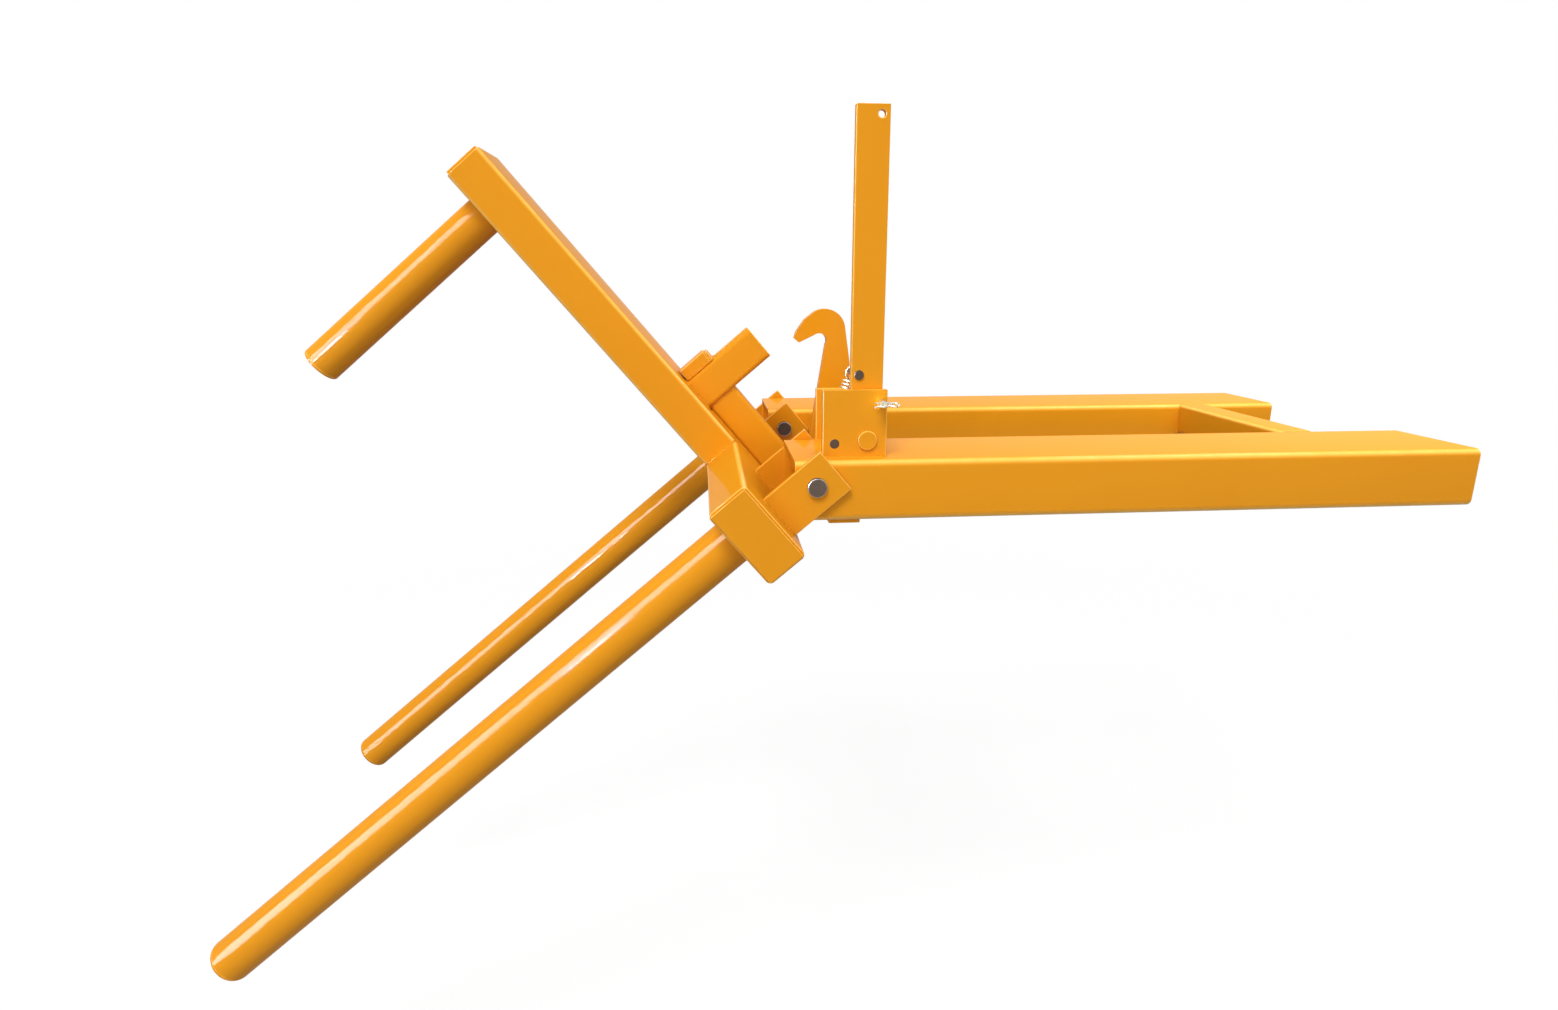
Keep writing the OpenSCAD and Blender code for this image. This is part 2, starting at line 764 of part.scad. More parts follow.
// The slot runs from the stub's open end past the hook's nose, and lets the hook reach the pin
module catch_stub() {
    slot_x = tip_x - slot_front;
    color(paint) on_cradle() difference() {
        translate([0, 0, stub_z + stub_size / 2]) run_x(-cradle_x, cradle_x + stub_reach)
            box_section(stub_size, stub_size, stub_wall, stub_wall + 2);
        translate([slot_x, -slot_half, stub_z - eps])
            cube([stub_reach - slot_x + eps, 2 * slot_half, stub_size + 2 * eps]);
        rod(catch_x, catch_z, catch_d, -stub_size, 2 * stub_size);
    }
}

module catch_pin() {
    color(paint) on_cradle() rod(catch_x, catch_z, catch_d, -stub_size / 2, stub_size);
}

module post_brace() {
    color(paint) on_cradle() translate([-cradle_x + brace_depth / 2, 0, -brace_down])
        linear_extrude(stub_z + brace_down)
            box_section(brace_depth, brace_w, stub_wall, stub_wall + 2);
}

module stop_block() {
    color(paint) on_cradle() translate([-cradle_x + block_gap, -block_w / 2, stub_top])
        cube([block_len, block_w, block_h]);
}

module stop_plate() {
    color(paint) on_cradle()
        translate([-cradle_x + block_gap + block_len, -block_w / 2, stub_top])
            cube([block_plate_t, block_w, block_h - block_plate_drop]);
}

module lug(y, right) {
    color(paint) on_side(right) on_cradle() plate(y, lug_t) difference() {
        translate([-cradle_x, -lug_down]) square([lug_len, lug_up + lug_down]);
        circle(d = pin_d);
    }
}

module left_outer_lug() { lug(-outer_lug_y - lug_t, false); }

module left_inner_lug() { lug(-inner_lug_y - lug_t, false); }

module right_inner_lug() { lug(-inner_lug_y - lug_t, true); }

module right_outer_lug() { lug(-outer_lug_y - lug_t, true); }

module hinge_pin(right) {
    start = -outer_lug_y - lug_t - pin_proud_out;
    end = -inner_lug_y + pin_proud_in;
    color(dark_steel) on_side(right) at_hinge() rod(0, 0, pin_d, start, end - start);
}

module left_hinge_pin() { hinge_pin(false); }

module right_hinge_pin() { hinge_pin(true); }

left_fork_sleeve();
right_fork_sleeve();
left_hinge_bush();
right_hinge_bush();
front_cross_tube();
rear_cross_tube();
left_wear_pad();
right_wear_pad();
outer_latch_plate();
inner_latch_plate();
left_hook_cheek();
right_hook_cheek();
spring_anchor_pin();
anchor_spacer();
clip_post();
hairpin_clip();
latch_shaft();
shaft_collar();
latch_hook();
release_lever();
spring_peg();
latch_spring();
cradle_cross_tube();
left_cross_tube_cap();
right_cross_tube_cap();
cradle_post();
post_cap();
upper_tube();
upper_tube_cap();
left_tine();
right_tine();
left_tine_cap();
right_tine_cap();
catch_stub();
catch_pin();
post_brace();
stop_block();
stop_plate();
left_outer_lug();
left_inner_lug();
right_inner_lug();
right_outer_lug();
left_hinge_pin();
right_hinge_pin();
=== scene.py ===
"""Finishes a fork-mounted drum handler: eased steel, weld beads, wire parts, paint and a plain studio."""

import json
import math

import bmesh
import bpy
from bpy.props import FloatProperty, FloatVectorProperty, IntProperty, PointerProperty
from mathutils import Matrix, Vector

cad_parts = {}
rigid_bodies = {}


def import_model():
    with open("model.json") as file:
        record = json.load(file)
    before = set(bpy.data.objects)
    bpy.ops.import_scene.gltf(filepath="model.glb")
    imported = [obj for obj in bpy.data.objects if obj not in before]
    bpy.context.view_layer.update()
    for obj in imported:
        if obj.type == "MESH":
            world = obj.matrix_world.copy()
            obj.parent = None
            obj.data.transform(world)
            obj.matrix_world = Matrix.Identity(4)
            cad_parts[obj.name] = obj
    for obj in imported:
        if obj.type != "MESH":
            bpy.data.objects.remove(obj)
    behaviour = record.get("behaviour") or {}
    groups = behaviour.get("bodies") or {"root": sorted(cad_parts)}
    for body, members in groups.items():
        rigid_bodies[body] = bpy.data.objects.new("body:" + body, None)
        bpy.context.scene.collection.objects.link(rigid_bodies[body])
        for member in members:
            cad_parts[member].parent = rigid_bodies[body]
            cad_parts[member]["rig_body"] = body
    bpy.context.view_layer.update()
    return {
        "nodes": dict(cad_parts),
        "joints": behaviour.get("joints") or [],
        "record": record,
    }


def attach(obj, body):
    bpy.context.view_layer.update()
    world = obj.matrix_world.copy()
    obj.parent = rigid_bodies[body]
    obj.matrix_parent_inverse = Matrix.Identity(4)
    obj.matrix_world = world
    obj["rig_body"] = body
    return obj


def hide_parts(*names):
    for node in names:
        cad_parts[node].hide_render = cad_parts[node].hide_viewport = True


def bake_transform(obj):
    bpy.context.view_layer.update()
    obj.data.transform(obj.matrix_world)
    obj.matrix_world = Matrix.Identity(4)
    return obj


bl_info = {
    "name": "Drum Handler Finish",
    "version": (1, 0, 0),
    "blender": (4, 5, 0),
    "location": "3D View > Sidebar > Drum Handler",
    "description": "Eases steel edges, lays weld beads, winds the wire parts and paints a drum handler",
    "category": "Object",
}

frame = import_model()

MM = 0.001
ORIGIN = Matrix.Identity(4)
X, Y, Z = Vector((1, 0, 0)), Vector((0, 1, 0)), Vector((0, 0, 1))


# Measures taken from the frame


def joint(name):
    """A joint of the frame, by its name."""
    return next(j for j in frame["joints"] if j["name"] == name)


def span(node, place=ORIGIN):
    """Lowest and highest corner of a node along the axes of a place."""
    into = place.inverted()
    points = [into @ v.co for v in frame["nodes"][node].data.vertices]
    return (
        Vector([min(p[k] for p in points) for k in range(3)]),
        Vector([max(p[k] for p in points) for k in range(3)]),
    )


def middle(node, place=ORIGIN):
    """The middle of a node's box along the axes of a place."""
    low, high = span(node, place)
    return (low + high) / 2


def bar_radius(node):
    """The radius of a round bar that lies along Y."""
    low, high = span(node)
    return (high.x - low.x) / 2


HINGE = Vector(joint("cradle_tilt")["pos_m"])
REST_TILT = math.radians(joint("cradle_tilt")["range_deg"][0])
CRADLE = Matrix.Translation(HINGE) @ Matrix.Rotation(REST_TILT, 4, "Y")
CRADLE_NODES = frame["record"]["behaviour"]["bodies"]["cradle"]


# Node trees


class Field:
    """One output socket that takes part in sums. Each operator adds a Math node."""

    def __init__(self, graph, node, socket):
        self.graph = graph
        self.node = node
        self.socket = socket

    def of(self, name):
        """Another output of the same node."""
        return Field(self.graph, self.node, self.graph.find(self.node.outputs, name))

    def math(self, operation, *values):
        inputs = {k: value for k, value in enumerate(values)}
        return self.graph.add(self.graph.math_node, {"operation": operation}, inputs)

    def __add__(self, other):
        return self.math("ADD", self, other)

    def __radd__(self, other):
        return self.math("ADD", other, self)

    def __sub__(self, other):
        return self.math("SUBTRACT", self, other)

    def __rsub__(self, other):
        return self.math("SUBTRACT", other, self)

    def __mul__(self, other):
        return self.math("MULTIPLY", self, other)

    def __rmul__(self, other):
        return self.math("MULTIPLY", other, self)

    def __truediv__(self, other):
        return self.math("DIVIDE", self, other)

    def __abs__(self):
        return self.math("ABSOLUTE", self)

    def sine(self):
        return self.math("SINE", self)

    def least(self, other):
        return self.math("MINIMUM", self, other)

    def most(self, other):
        return self.math("MAXIMUM", self, other)

    def above(self, low, high):
        """0 below low, 1 above high and a smooth step between them."""
        settings = {"interpolation_type": "SMOOTHSTEP"}
        inputs = {"Value": self, "From Min": low, "From Max": high}
        return self.graph.add("ShaderNodeMapRange", settings, inputs)


class Graph:
    """A node tree that is being written."""

    math_node = "ShaderNodeMath"

    def __init__(self, tree):
        self.tree = tree
        tree.nodes.clear()

    @staticmethod
    def find(sockets, name):
        """A socket by its place, its identifier or its name."""
        if isinstance(name, int):
            return sockets[name]
        for socket in sockets:
            if socket.identifier == name:
                return socket
        return sockets[name]

    def add(self, kind, settings=None, inputs=None):
        """Adds a node: its settings first, then the value or link of each named input."""
        node = self.tree.nodes.new(kind)
        for name, value in (settings or {}).items():
            setattr(node, name, value)
        for name, value in (inputs or {}).items():
            socket = self.find(node.inputs, name)
            if isinstance(value, Field):
                self.tree.links.new(value.socket, socket)
            else:
                socket.default_value = value
        return Field(self, node, node.outputs[0] if len(node.outputs) else None)

    def blend(self, share, start, end):
        """A colour between start and end."""
        settings = {"data_type": "RGBA", "clamp_factor": True}
        inputs = {"Factor_Float": share, "A_Color": start, "B_Color": end}
        return self.add("ShaderNodeMix", settings, inputs).of("Result_Color")

    def noise(self, place, scale, detail=2.0, roughness=0.5):
        """Noise from 0 to 1 with that many waves to the metre."""
        inputs = {"Vector": place, "Scale": scale, "Detail": detail, "Roughness": roughness}
        return self.add("ShaderNodeTexNoise", {}, inputs).of("Fac")

    def place(self):
        """The place on the object, in metres."""
        return self.add("ShaderNodeTexCoord").of("Object")

    def edge(self):
        """1 along the middle of an eased edge and 0 on the flats."""
        return self.add("ShaderNodeAttribute", {"attribute_name": "edge"}).of("Fac")

    def length(self, vector):
        """The length of a vector."""
        return self.add("ShaderNodeVectorMath", {"operation": "LENGTH"}, {0: vector}).of("Value")


def linear(colour):
    """A screen colour as the shader's linear colour, by the sRGB curve, with its alpha."""
    def channel(value):
        return value / 12.92 if value <= 0.04045 else ((value + 0.055) / 1.055) ** 2.4
    return (*(channel(value) for value in colour), 1.0)


def new_material(name):
    """An empty material and its graph."""
    material = bpy.data.materials.new(name)
    material.use_nodes = True
    return material, Graph(material.node_tree)


def surface(graph, inputs):
    """Ends a material in one Principled BSDF."""
    shader = graph.add("ShaderNodeBsdfPrincipled", {}, inputs)
    graph.add("ShaderNodeOutputMaterial", {}, {"Surface": shader})


def relief(graph, height):
    """A Bump node for a height in metres."""
    return graph.add("ShaderNodeBump", {}, {"Strength": 1.0, "Distance": 1.0, "Height": height})


# The range that noise seldom leaves
NOISE_LOW, NOISE_HIGH = 0.3, 0.7
GRAIN_DEPTH = 0.01 * MM


def powder_coat(look):
    """Yellow powder coat: orange peel, dust nibs, slow changes of shade, and a lighter shade on the edges
    that is partly thin paint and partly painted highlight.
    """
    broad_waves, cloud_waves = 4.0, 38.0
    cloud_share = 0.45
    fine_peel_waves, fine_peel_share = 2.6, 0.35
    nib_top = 0.2
    thin_paint_and_highlight_share = 0.6
    cloud_roughness = 0.14
    gloss_roughness, gloss_ior = 0.04, 1.4
    material, graph = new_material("yellow_powder_coat")
    place = graph.place()
    edge = graph.edge()
    broad = graph.noise(place, broad_waves, detail=3.0)
    cloud = graph.noise(place, cloud_waves, detail=3.0, roughness=0.6)
    peel = graph.noise(place, 1 / look.peel_size, detail=1.0)
    fine_peel = graph.noise(place, fine_peel_waves / look.peel_size)
    cells = graph.add("ShaderNodeTexVoronoi", {"feature": "F1"}, {"Vector": place, "Scale": look.nibs})
    nib_radius = look.nib_size * look.nibs
    nib = 1 - cells.of("Distance").above(nib_top * nib_radius, nib_radius)
    thinness = broad.above(NOISE_LOW, NOISE_HIGH) * (1 - cloud_share) + cloud * cloud_share
    shade = graph.blend(thinness, linear(look.deep_colour), linear(look.colour))
    # Lighter edges: partly thin paint, partly a painted highlight along each rounded edge.
    thin_paint_and_highlight = edge * look.edge_thin_paint_and_highlight_show * (thin_paint_and_highlight_share + thin_paint_and_highlight_share * cloud)
    height = (peel + fine_peel_share * fine_peel) * look.peel_depth + nib * look.nib_height
    surface(graph, {
        "Base Color": graph.blend(thin_paint_and_highlight, shade, linear(look.edge_thin_paint_and_highlight_colour)),
        "Roughness": look.roughness + cloud_roughness * (cloud - 0.5),
        "IOR": look.ior,
        "Coat Weight": look.coat + look.edge_coat * edge,
        "Coat Roughness": gloss_roughness,
        "Coat IOR": gloss_ior,
        "Normal": relief(graph, height),
    })
    return material


def turned_steel(name, look, centre, rim, dark, light):
    """Dark steel bar, turned about an axis along Y through the centre. Rim is how far its rim is lightened:
    partly worn bare steel, partly painted highlight.
    """
    stain_waves, grain_waves = 160.0, 900.0
    metal, rim_metal = 0.35, 0.4
    roughness, stain_roughness, rim_polish = 0.52, 0.16, 0.2
    material, graph = new_material(name)
    place = graph.place()
    inputs = {"Vector": place, "Location": (-centre.x, 0, -centre.z), "Scale": (1, 0, 1)}
    flat = graph.add("ShaderNodeMapping", {"vector_type": "POINT"}, inputs)
    rings = (graph.length(flat) * (math.tau / look.turning_pitch)).sine()
    stain = graph.noise(place, stain_waves, detail=4.0, roughness=0.65)
    grain = graph.noise(place, grain_waves)
    edge = graph.edge()
    shade = graph.blend(stain, linear(dark), linear(light))
    surface(graph, {
        # Lighter rims: partly worn bare steel, partly a painted highlight that stands in for glints.
        "Base Color": graph.blend(edge * rim, shade, linear(look.rim_wear_and_highlight_colour)),
        "Metallic": metal + rim_metal * edge,
        "Roughness": roughness + stain_roughness * (stain - 0.5) - rim_polish * edge,
        "Normal": relief(graph, rings * look.turning_depth + grain * GRAIN_DEPTH),
    })
    return material


def zinc(look):
    """Bright zinc plate with a faint warm bloom, dulled in spots."""
    bloom_waves, spot_waves, dull_waves = 90.0, 700.0, 330.0
    dull_start, dull_end, dull_share = 0.5, 0.68, 0.75
    roughness, spot_roughness = 0.2, 0.18
    material, graph = new_material("bright_zinc")
    place = graph.place()
    bloom = graph.noise(place, bloom_waves)
    spots = graph.noise(place, spot_waves, detail=3.0, roughness=0.6)
    dulled = graph.noise(place, dull_waves, roughness=0.6).above(dull_start, dull_end)
    warmth = bloom.above(NOISE_LOW, NOISE_HIGH)
    bright = graph.blend(warmth, linear(look.cool_colour), linear(look.warm_colour))
    surface(graph, {
        "Base Color": graph.blend(dulled * dull_share, bright, linear(look.dull_colour)),
        "Metallic": 1.0,
        "Roughness": roughness + spot_roughness * spots,
        "Normal": relief(graph, spots * GRAIN_DEPTH),
    })
    return material


# Pieces


MERGE = 1e-6
FLAT_ANGLE = math.radians(0.5)
SHARP_ANGLE = math.radians(30)
BEVEL_SEGMENTS = 3
ARC_STEPS = 6
CORNER_SHARPNESS = 3
CORNER_LEAN = 0.1
BORE_SLACK = 0.6 * MM

SLEEVES = ("left_fork_sleeve", "right_fork_sleeve")
FRAME_CROSSES = ("front_cross_tube", "rear_cross_tube")
BOX_SECTIONS = SLEEVES + FRAME_CROSSES + ("cradle_cross_tube", "cradle_post")
WEAR_PADS = ("left_wear_pad", "right_wear_pad")
LATCH_PLATES = ("outer_latch_plate", "inner_latch_plate")
HOOK_CHEEKS = ("left_hook_cheek", "right_hook_cheek")
LUGS = ("left_outer_lug", "left_inner_lug", "right_inner_lug", "right_outer_lug")
TINES = ("left_tine", "right_tine")
HINGE_PINS = ("left_hinge_pin", "right_hinge_pin")
SPRING_PINS = ("spring_anchor_pin", "spring_peg")
PINS = HINGE_PINS + SPRING_PINS + ("latch_shaft", "catch_pin", "clip_post")


def shown(name, data):
    """A new object in the scene, at the origin, that holds a mesh, a lamp or a camera."""
    thing = bpy.data.objects.new(name, data)
    bpy.context.scene.collection.objects.link(thing)
    return thing


def settle(piece):
    """Turns what a piece's modifiers make into its plain mesh."""
    bpy.context.view_layer.update()
    graph = bpy.context.evaluated_depsgraph_get()
    mesh = bpy.data.meshes.new_from_object(
        piece.evaluated_get(graph), preserve_all_data_layers=True, depsgraph=graph
    )
    piece.modifiers.clear()
    piece.data = mesh
    mesh.name = piece.name
    return piece


def bores(node):
    """The middle and radius of each pin along Y that may pass through the node."""
    return [] if node in PINS else [(middle(pin), bar_radius(pin)) for pin in PINS]


def on_bore(point, centre, radius):
    """Whether a point lies on the wall of a bore along Y."""
    return abs(math.hypot(point.x - centre.x, point.z - centre.z) - radius) < BORE_SLACK


def merged_mesh(node):
    """A node's surface with shared corners and whole flat faces. Sharp edges get a bevel, bores don't."""
    source = frame["nodes"][node].data
    work = bmesh.new()
    corners = [work.verts.new(v.co) for v in source.vertices]
    for polygon in source.polygons:
        work.faces.new([corners[k] for k in polygon.vertices])
    bmesh.ops.remove_doubles(work, verts=work.verts, dist=MERGE)
    bmesh.ops.dissolve_limit(work, angle_limit=FLAT_ANGLE, verts=work.verts, edges=work.edges)
    for face in work.faces:
        face.smooth = True
    weight = work.edges.layers.float.new("bevel_weight_edge")
    holes = bores(node)
    for edge in work.edges:
        rim = any(all(on_bore(v.co, *hole) for v in edge.verts) for hole in holes)
        sharp = edge.calc_face_angle(0.0) > SHARP_ANGLE
        edge[weight] = float(sharp and not rim)
        edge.smooth = not (sharp and rim)
    mesh = bpy.data.meshes.new(node)
    work.to_mesh(mesh)
    work.free()
    return mesh


def mark_edges(mesh):
    """Stores edge: 1 along the middle of each rounded edge and 0 where the flat begins."""
    flat = {k for polygon in mesh.polygons if not polygon.material_index for k in polygon.vertices}
    attribute = mesh.attributes.new("edge", "FLOAT", "POINT")
    attribute.data.foreach_set("value", [float(k not in flat) for k in range(len(mesh.vertices))])
    mesh.polygons.foreach_set("material_index", [0] * len(mesh.polygons))
    mesh.materials.pop(index=1)


def mark_corners(mesh, turn):
    """Raises edge along each rounded corner of a box section that stands square in that turn. This adds
    gloss there and paints a pale highlight line along the corner.
    """
    marks = mesh.attributes["edge"].data
    back = turn.transposed()
    for vertex in mesh.vertices:
        least, mean, most = sorted(abs(part) for part in back @ vertex.normal)
        if least < CORNER_LEAN:
            mark = marks[vertex.index]
            mark.value = max(mark.value, (2 * mean * most) ** CORNER_SHARPNESS)


def eased(node, radius, material):
    """Stands a copy of a node with rounded edges in the node's place."""
    mesh = merged_mesh(node)
    mesh.materials.append(material)
    mesh.materials.append(material)
    piece = shown(node + "_eased", mesh)
    bevel = piece.modifiers.new("edges", "BEVEL")
    bevel.width = radius
    bevel.segments = BEVEL_SEGMENTS
    bevel.limit_method = "WEIGHT"
    bevel.material = 1
    bevel.harden_normals = True
    settle(piece)
    mark_edges(piece.data)
    if node in BOX_SECTIONS:
        mark_corners(piece.data, (CRADLE if node in CRADLE_NODES else ORIGIN).to_3x3())
    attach(piece, frame["nodes"][node]["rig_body"])
    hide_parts(node)


def outline(centre, across, up, half_w, half_h, corner):
    """Points round a section with rounded corners, and the way out at each."""
    points, ways = [], []
    for quarter in range(4):
        side = 1 if quarter in (0, 3) else -1
        rise = 1 if quarter in (0, 1) else -1
        base = centre + across * side * (half_w - corner) + up * rise * (half_h - corner)
        for step in range(ARC_STEPS + 1):
            angle = math.tau * (quarter + step / ARC_STEPS) / 4
            way = across * math.cos(angle) + up * math.sin(angle)
            point = base + way * corner
            if not points or (point - points[-1]).length > MERGE:
                points.append(point)
                ways.append(way)
    if (points[0] - points[-1]).length < MERGE:
        points.pop()
        ways.pop()
    return points, ways


class Seams:
    """The weld seams of one body, as lines with the way that each bead's first leg runs."""

    def __init__(self, body, place=ORIGIN):
        self.body = body
        self.place = place
        self.lines = []

    def line(self, points, sides, rise, leg, closed=False):
        """A seam along points, whose legs run along sides and along rise."""
        forward = rise.cross(sides[0])
        if (points[1] - points[0]).dot(forward) < 0:
            points, sides = points[::-1], sides[::-1]
        turn = self.place.to_3x3()
        self.lines.append(([self.place @ p for p in points], [turn @ s for s in sides], leg, closed))

    def run(self, start, end, side, rise, leg):
        """A straight seam."""
        self.line([start, end], [side, side], rise, leg)

    def groove(self, start, end, out, along, depth, leg):
        """A straight seam that fills the groove between a rounded corner and a flush edge."""
        root = (start - out * depth, end - out * depth)
        self.run(*root, (out - along).normalized(), (out + along).normalized(), leg)

    def foot(self, low, high, level, rise, leg, far=True):
        """Seams round a plate's foot that stands on a level, on its far side only where far says so."""
        for y, side in ((low.y, -Y), (high.y, Y)) if far else ((low.y, -Y),):
            self.run(Vector((low.x, y, level)), Vector((high.x, y, level)), side, rise, leg)
        for x, side in ((low.x, -X), (high.x, X)):
            self.run(Vector((x, low.y, level)), Vector((x, high.y, level)), side, rise, leg)

    def ring(self, centre, across, up, half, corner, rise, leg):
        """A closed seam round a square section, which is a circle where corner is half."""
        points, ways = outline(centre, across, up, half, half, corner)
        self.line(points, ways, rise, leg, closed=True)

    def mesh(self):
        """The seams as loose edges that carry side, leg and closed."""
        mesh = bpy.data.meshes.new(self.body + "_seams")
        points, edges, sides, legs, closes = [], [], [], [], []
        for line, ways, leg, closed in self.lines:
            first, count = len(points), len(line)
            points += line
            edges += [(first + k, first + k + 1) for k in range(count - 1)]
            if closed:
                edges.append((first + count - 1, first))
            sides += ways
            legs += [leg] * count
            closes += [float(closed)] * count
        mesh.from_pydata(points, edges, [])
        mesh.attributes.new("side", "FLOAT_VECTOR", "POINT").data.foreach_set(
            "vector", [value for way in sides for value in way]
        )
        mesh.attributes.new("leg", "FLOAT", "POINT").data.foreach_set("value", legs)
        mesh.attributes.new("closed", "FLOAT", "POINT").data.foreach_set("value", closes)
        return mesh


def geometry_tree(name, sizes):
    """A Geometry Nodes tree with a geometry, a material and the named sizes as inputs."""
    tree = bpy.data.node_groups.new(name, "GeometryNodeTree")
    tree.interface.new_socket("Geometry", in_out="INPUT", socket_type="NodeSocketGeometry")
    for size in sizes:
        tree.interface.new_socket(size, in_out="INPUT", socket_type="NodeSocketFloat")
    tree.interface.new_socket("Material", in_out="INPUT", socket_type="NodeSocketMaterial")
    tree.interface.new_socket("Geometry", in_out="OUTPUT", socket_type="NodeSocketGeometry")
    graph = Graph(tree)
    return graph, graph.add("NodeGroupInput")


def end_tree(graph, given, geometry):
    """Smooths, realizes and paints the geometry and hands it out."""
    geometry = graph.add("GeometryNodeSetShadeSmooth", {}, {"Geometry": geometry})
    geometry = graph.add("GeometryNodeRealizeInstances", {}, {"Geometry": geometry})
    inputs = {"Geometry": geometry, "Material": given.of("Material")}
    geometry = graph.add("GeometryNodeSetMaterial", {}, inputs)
    graph.add("NodeGroupOutput", {}, {"Geometry": geometry})
    return graph.tree


def grown(name, mesh, tree, values):
    """A piece that a Geometry Nodes tree makes from a mesh, as a plain mesh."""
    piece = shown(name, mesh)
    modifier = piece.modifiers.new("make", "NODES")
    modifier.node_group = tree
    for item in tree.interface.items_tree:
        if item.in_out == "INPUT" and item.name in values:
            modifier[item.identifier] = values[item.name]
    return settle(piece)


def stored(graph, geometry, name, value):
    """Keeps a value on each point under a name."""
    settings = {"data_type": "FLOAT", "domain": "POINT"}
    inputs = {"Geometry": geometry, "Name": name, "Value": value}
    return graph.add("GeometryNodeStoreNamedAttribute", settings, inputs)


def named(graph, name, kind="FLOAT"):
    """A value that the points carry under a name."""
    return graph.add("GeometryNodeInputNamedAttribute", {"data_type": kind}, {"Name": name})


def bead_tree():
    """Sweeps a slightly proud fillet along each seam, with tapered ends and overlapping ripples."""
    steps_in_ripple = 6
    end_size, taper_legs = 0.35, 1.2
    wobble_waves = 130.0
    arc_points = 8
    sunk, proud = -0.08, 0.6
    bow_middle, bow_depth = 0.25, 9.0
    graph, given = geometry_tree("weld_bead", ["Ripple Pitch", "Ripple Height", "Unevenness"])
    pitch = given.of("Ripple Pitch")
    seam = graph.add("GeometryNodeMeshToCurve", {}, {"Mesh": given.of("Geometry")})
    inputs = {"Curve": seam, "Length": pitch / steps_in_ripple}
    seam = graph.add("GeometryNodeResampleCurve", {"mode": "LENGTH"}, inputs)
    inputs = {"Curve": seam, "Normal": named(graph, "side", "FLOAT_VECTOR")}
    seam = graph.add("GeometryNodeSetCurveNormal", {"mode": "FREE"}, inputs)
    along = graph.add("GeometryNodeSplineParameter").of("Length")
    whole = graph.add("GeometryNodeSplineLength").of("Length")
    leg = named(graph, "leg")
    from_end = along.least(whole - along) / leg
    taper = end_size + (1 - end_size) * from_end.above(0.0, taper_legs)
    taper = taper.most(named(graph, "closed"))
    place = graph.add("GeometryNodeInputPosition")
    wobble = 1 + given.of("Unevenness") * (graph.noise(place, wobble_waves, detail=1.0) - 0.5)
    seam = stored(graph, seam, "along", along)
    inputs = {
        "Resolution": arc_points,
        "Start": (sunk, 1.0, 0.0),
        "Middle": (proud, proud, 0.0),
        "End": (1.0, sunk, 0.0),
        "Connect Center": True,
    }
    arc = graph.add("GeometryNodeCurveArc", {"mode": "POINTS"}, inputs)
    arc = stored(graph, arc, "across", graph.add("GeometryNodeSplineParameter").of("Factor"))
    inputs = {"Curve": seam, "Profile Curve": arc, "Scale": leg * taper * wobble, "Fill Caps": True}
    bead = graph.add("GeometryNodeCurveToMesh", {}, inputs)
    across = named(graph, "across") - bow_middle
    bow = across * across * bow_depth
    ripple = abs(((named(graph, "along") / pitch + bow) * math.pi).sine())
    normal = graph.add("GeometryNodeInputNormal")
    inputs = {0: normal, "Scale": ripple * given.of("Ripple Height")}
    offset = graph.add("ShaderNodeVectorMath", {"operation": "SCALE"}, inputs)
    bead = graph.add("GeometryNodeSetPosition", {}, {"Geometry": bead, "Offset": offset})
    return end_tree(graph, given, bead)


def wire_tree():
    """Sweeps a round wire along a smooth line through the given points."""
    sides = 14
    graph, given = geometry_tree("round_wire", ["Wire", "Step"])
    line = graph.add("GeometryNodeMeshToCurve", {}, {"Mesh": given.of("Geometry")})
    line = graph.add("GeometryNodeCurveSplineType", {"spline_type": "CATMULL_ROM"}, {"Curve": line})
    inputs = {"Curve": line, "Length": given.of("Step")}
    line = graph.add("GeometryNodeResampleCurve", {"mode": "LENGTH"}, inputs)
    inputs = {"Resolution": sides, "Radius": given.of("Wire") / 2}
    circle = graph.add("GeometryNodeCurvePrimitiveCircle", {"mode": "RADIUS"}, inputs)
    inputs = {"Curve": line, "Profile Curve": circle, "Scale": 1.0, "Fill Caps": True}
    wire = graph.add("GeometryNodeCurveToMesh", {}, inputs)
    return end_tree(graph, given, wire)


def path_mesh(name, points):
    """An open line through points as loose edges."""
    mesh = bpy.data.meshes.new(name)
    mesh.from_pydata(points, [(k, k + 1) for k in range(len(points) - 1)], [])
    return mesh


# Settings that a user would change


def colour_setting(name, about, value):
    """A screen colour."""
    return FloatVectorProperty(
        name=name, description=about, default=value, min=0, max=1, size=3, subtype="COLOR_GAMMA"
    )


def length_setting(name, about, value):
    """A length in metres."""
    return FloatProperty(
        name=name, description=about, default=value, min=0, precision=5, subtype="DISTANCE", unit="LENGTH"
    )


def share_setting(name, about, value, high=1.0):
    """A number from 0 up to high."""
    return FloatProperty(name=name, description=about, default=value, min=0, max=high)


def angle_setting(name, about, value):
    """An angle."""
    return FloatProperty(name=name, description=about, default=value, subtype="ANGLE", unit="ROTATION")


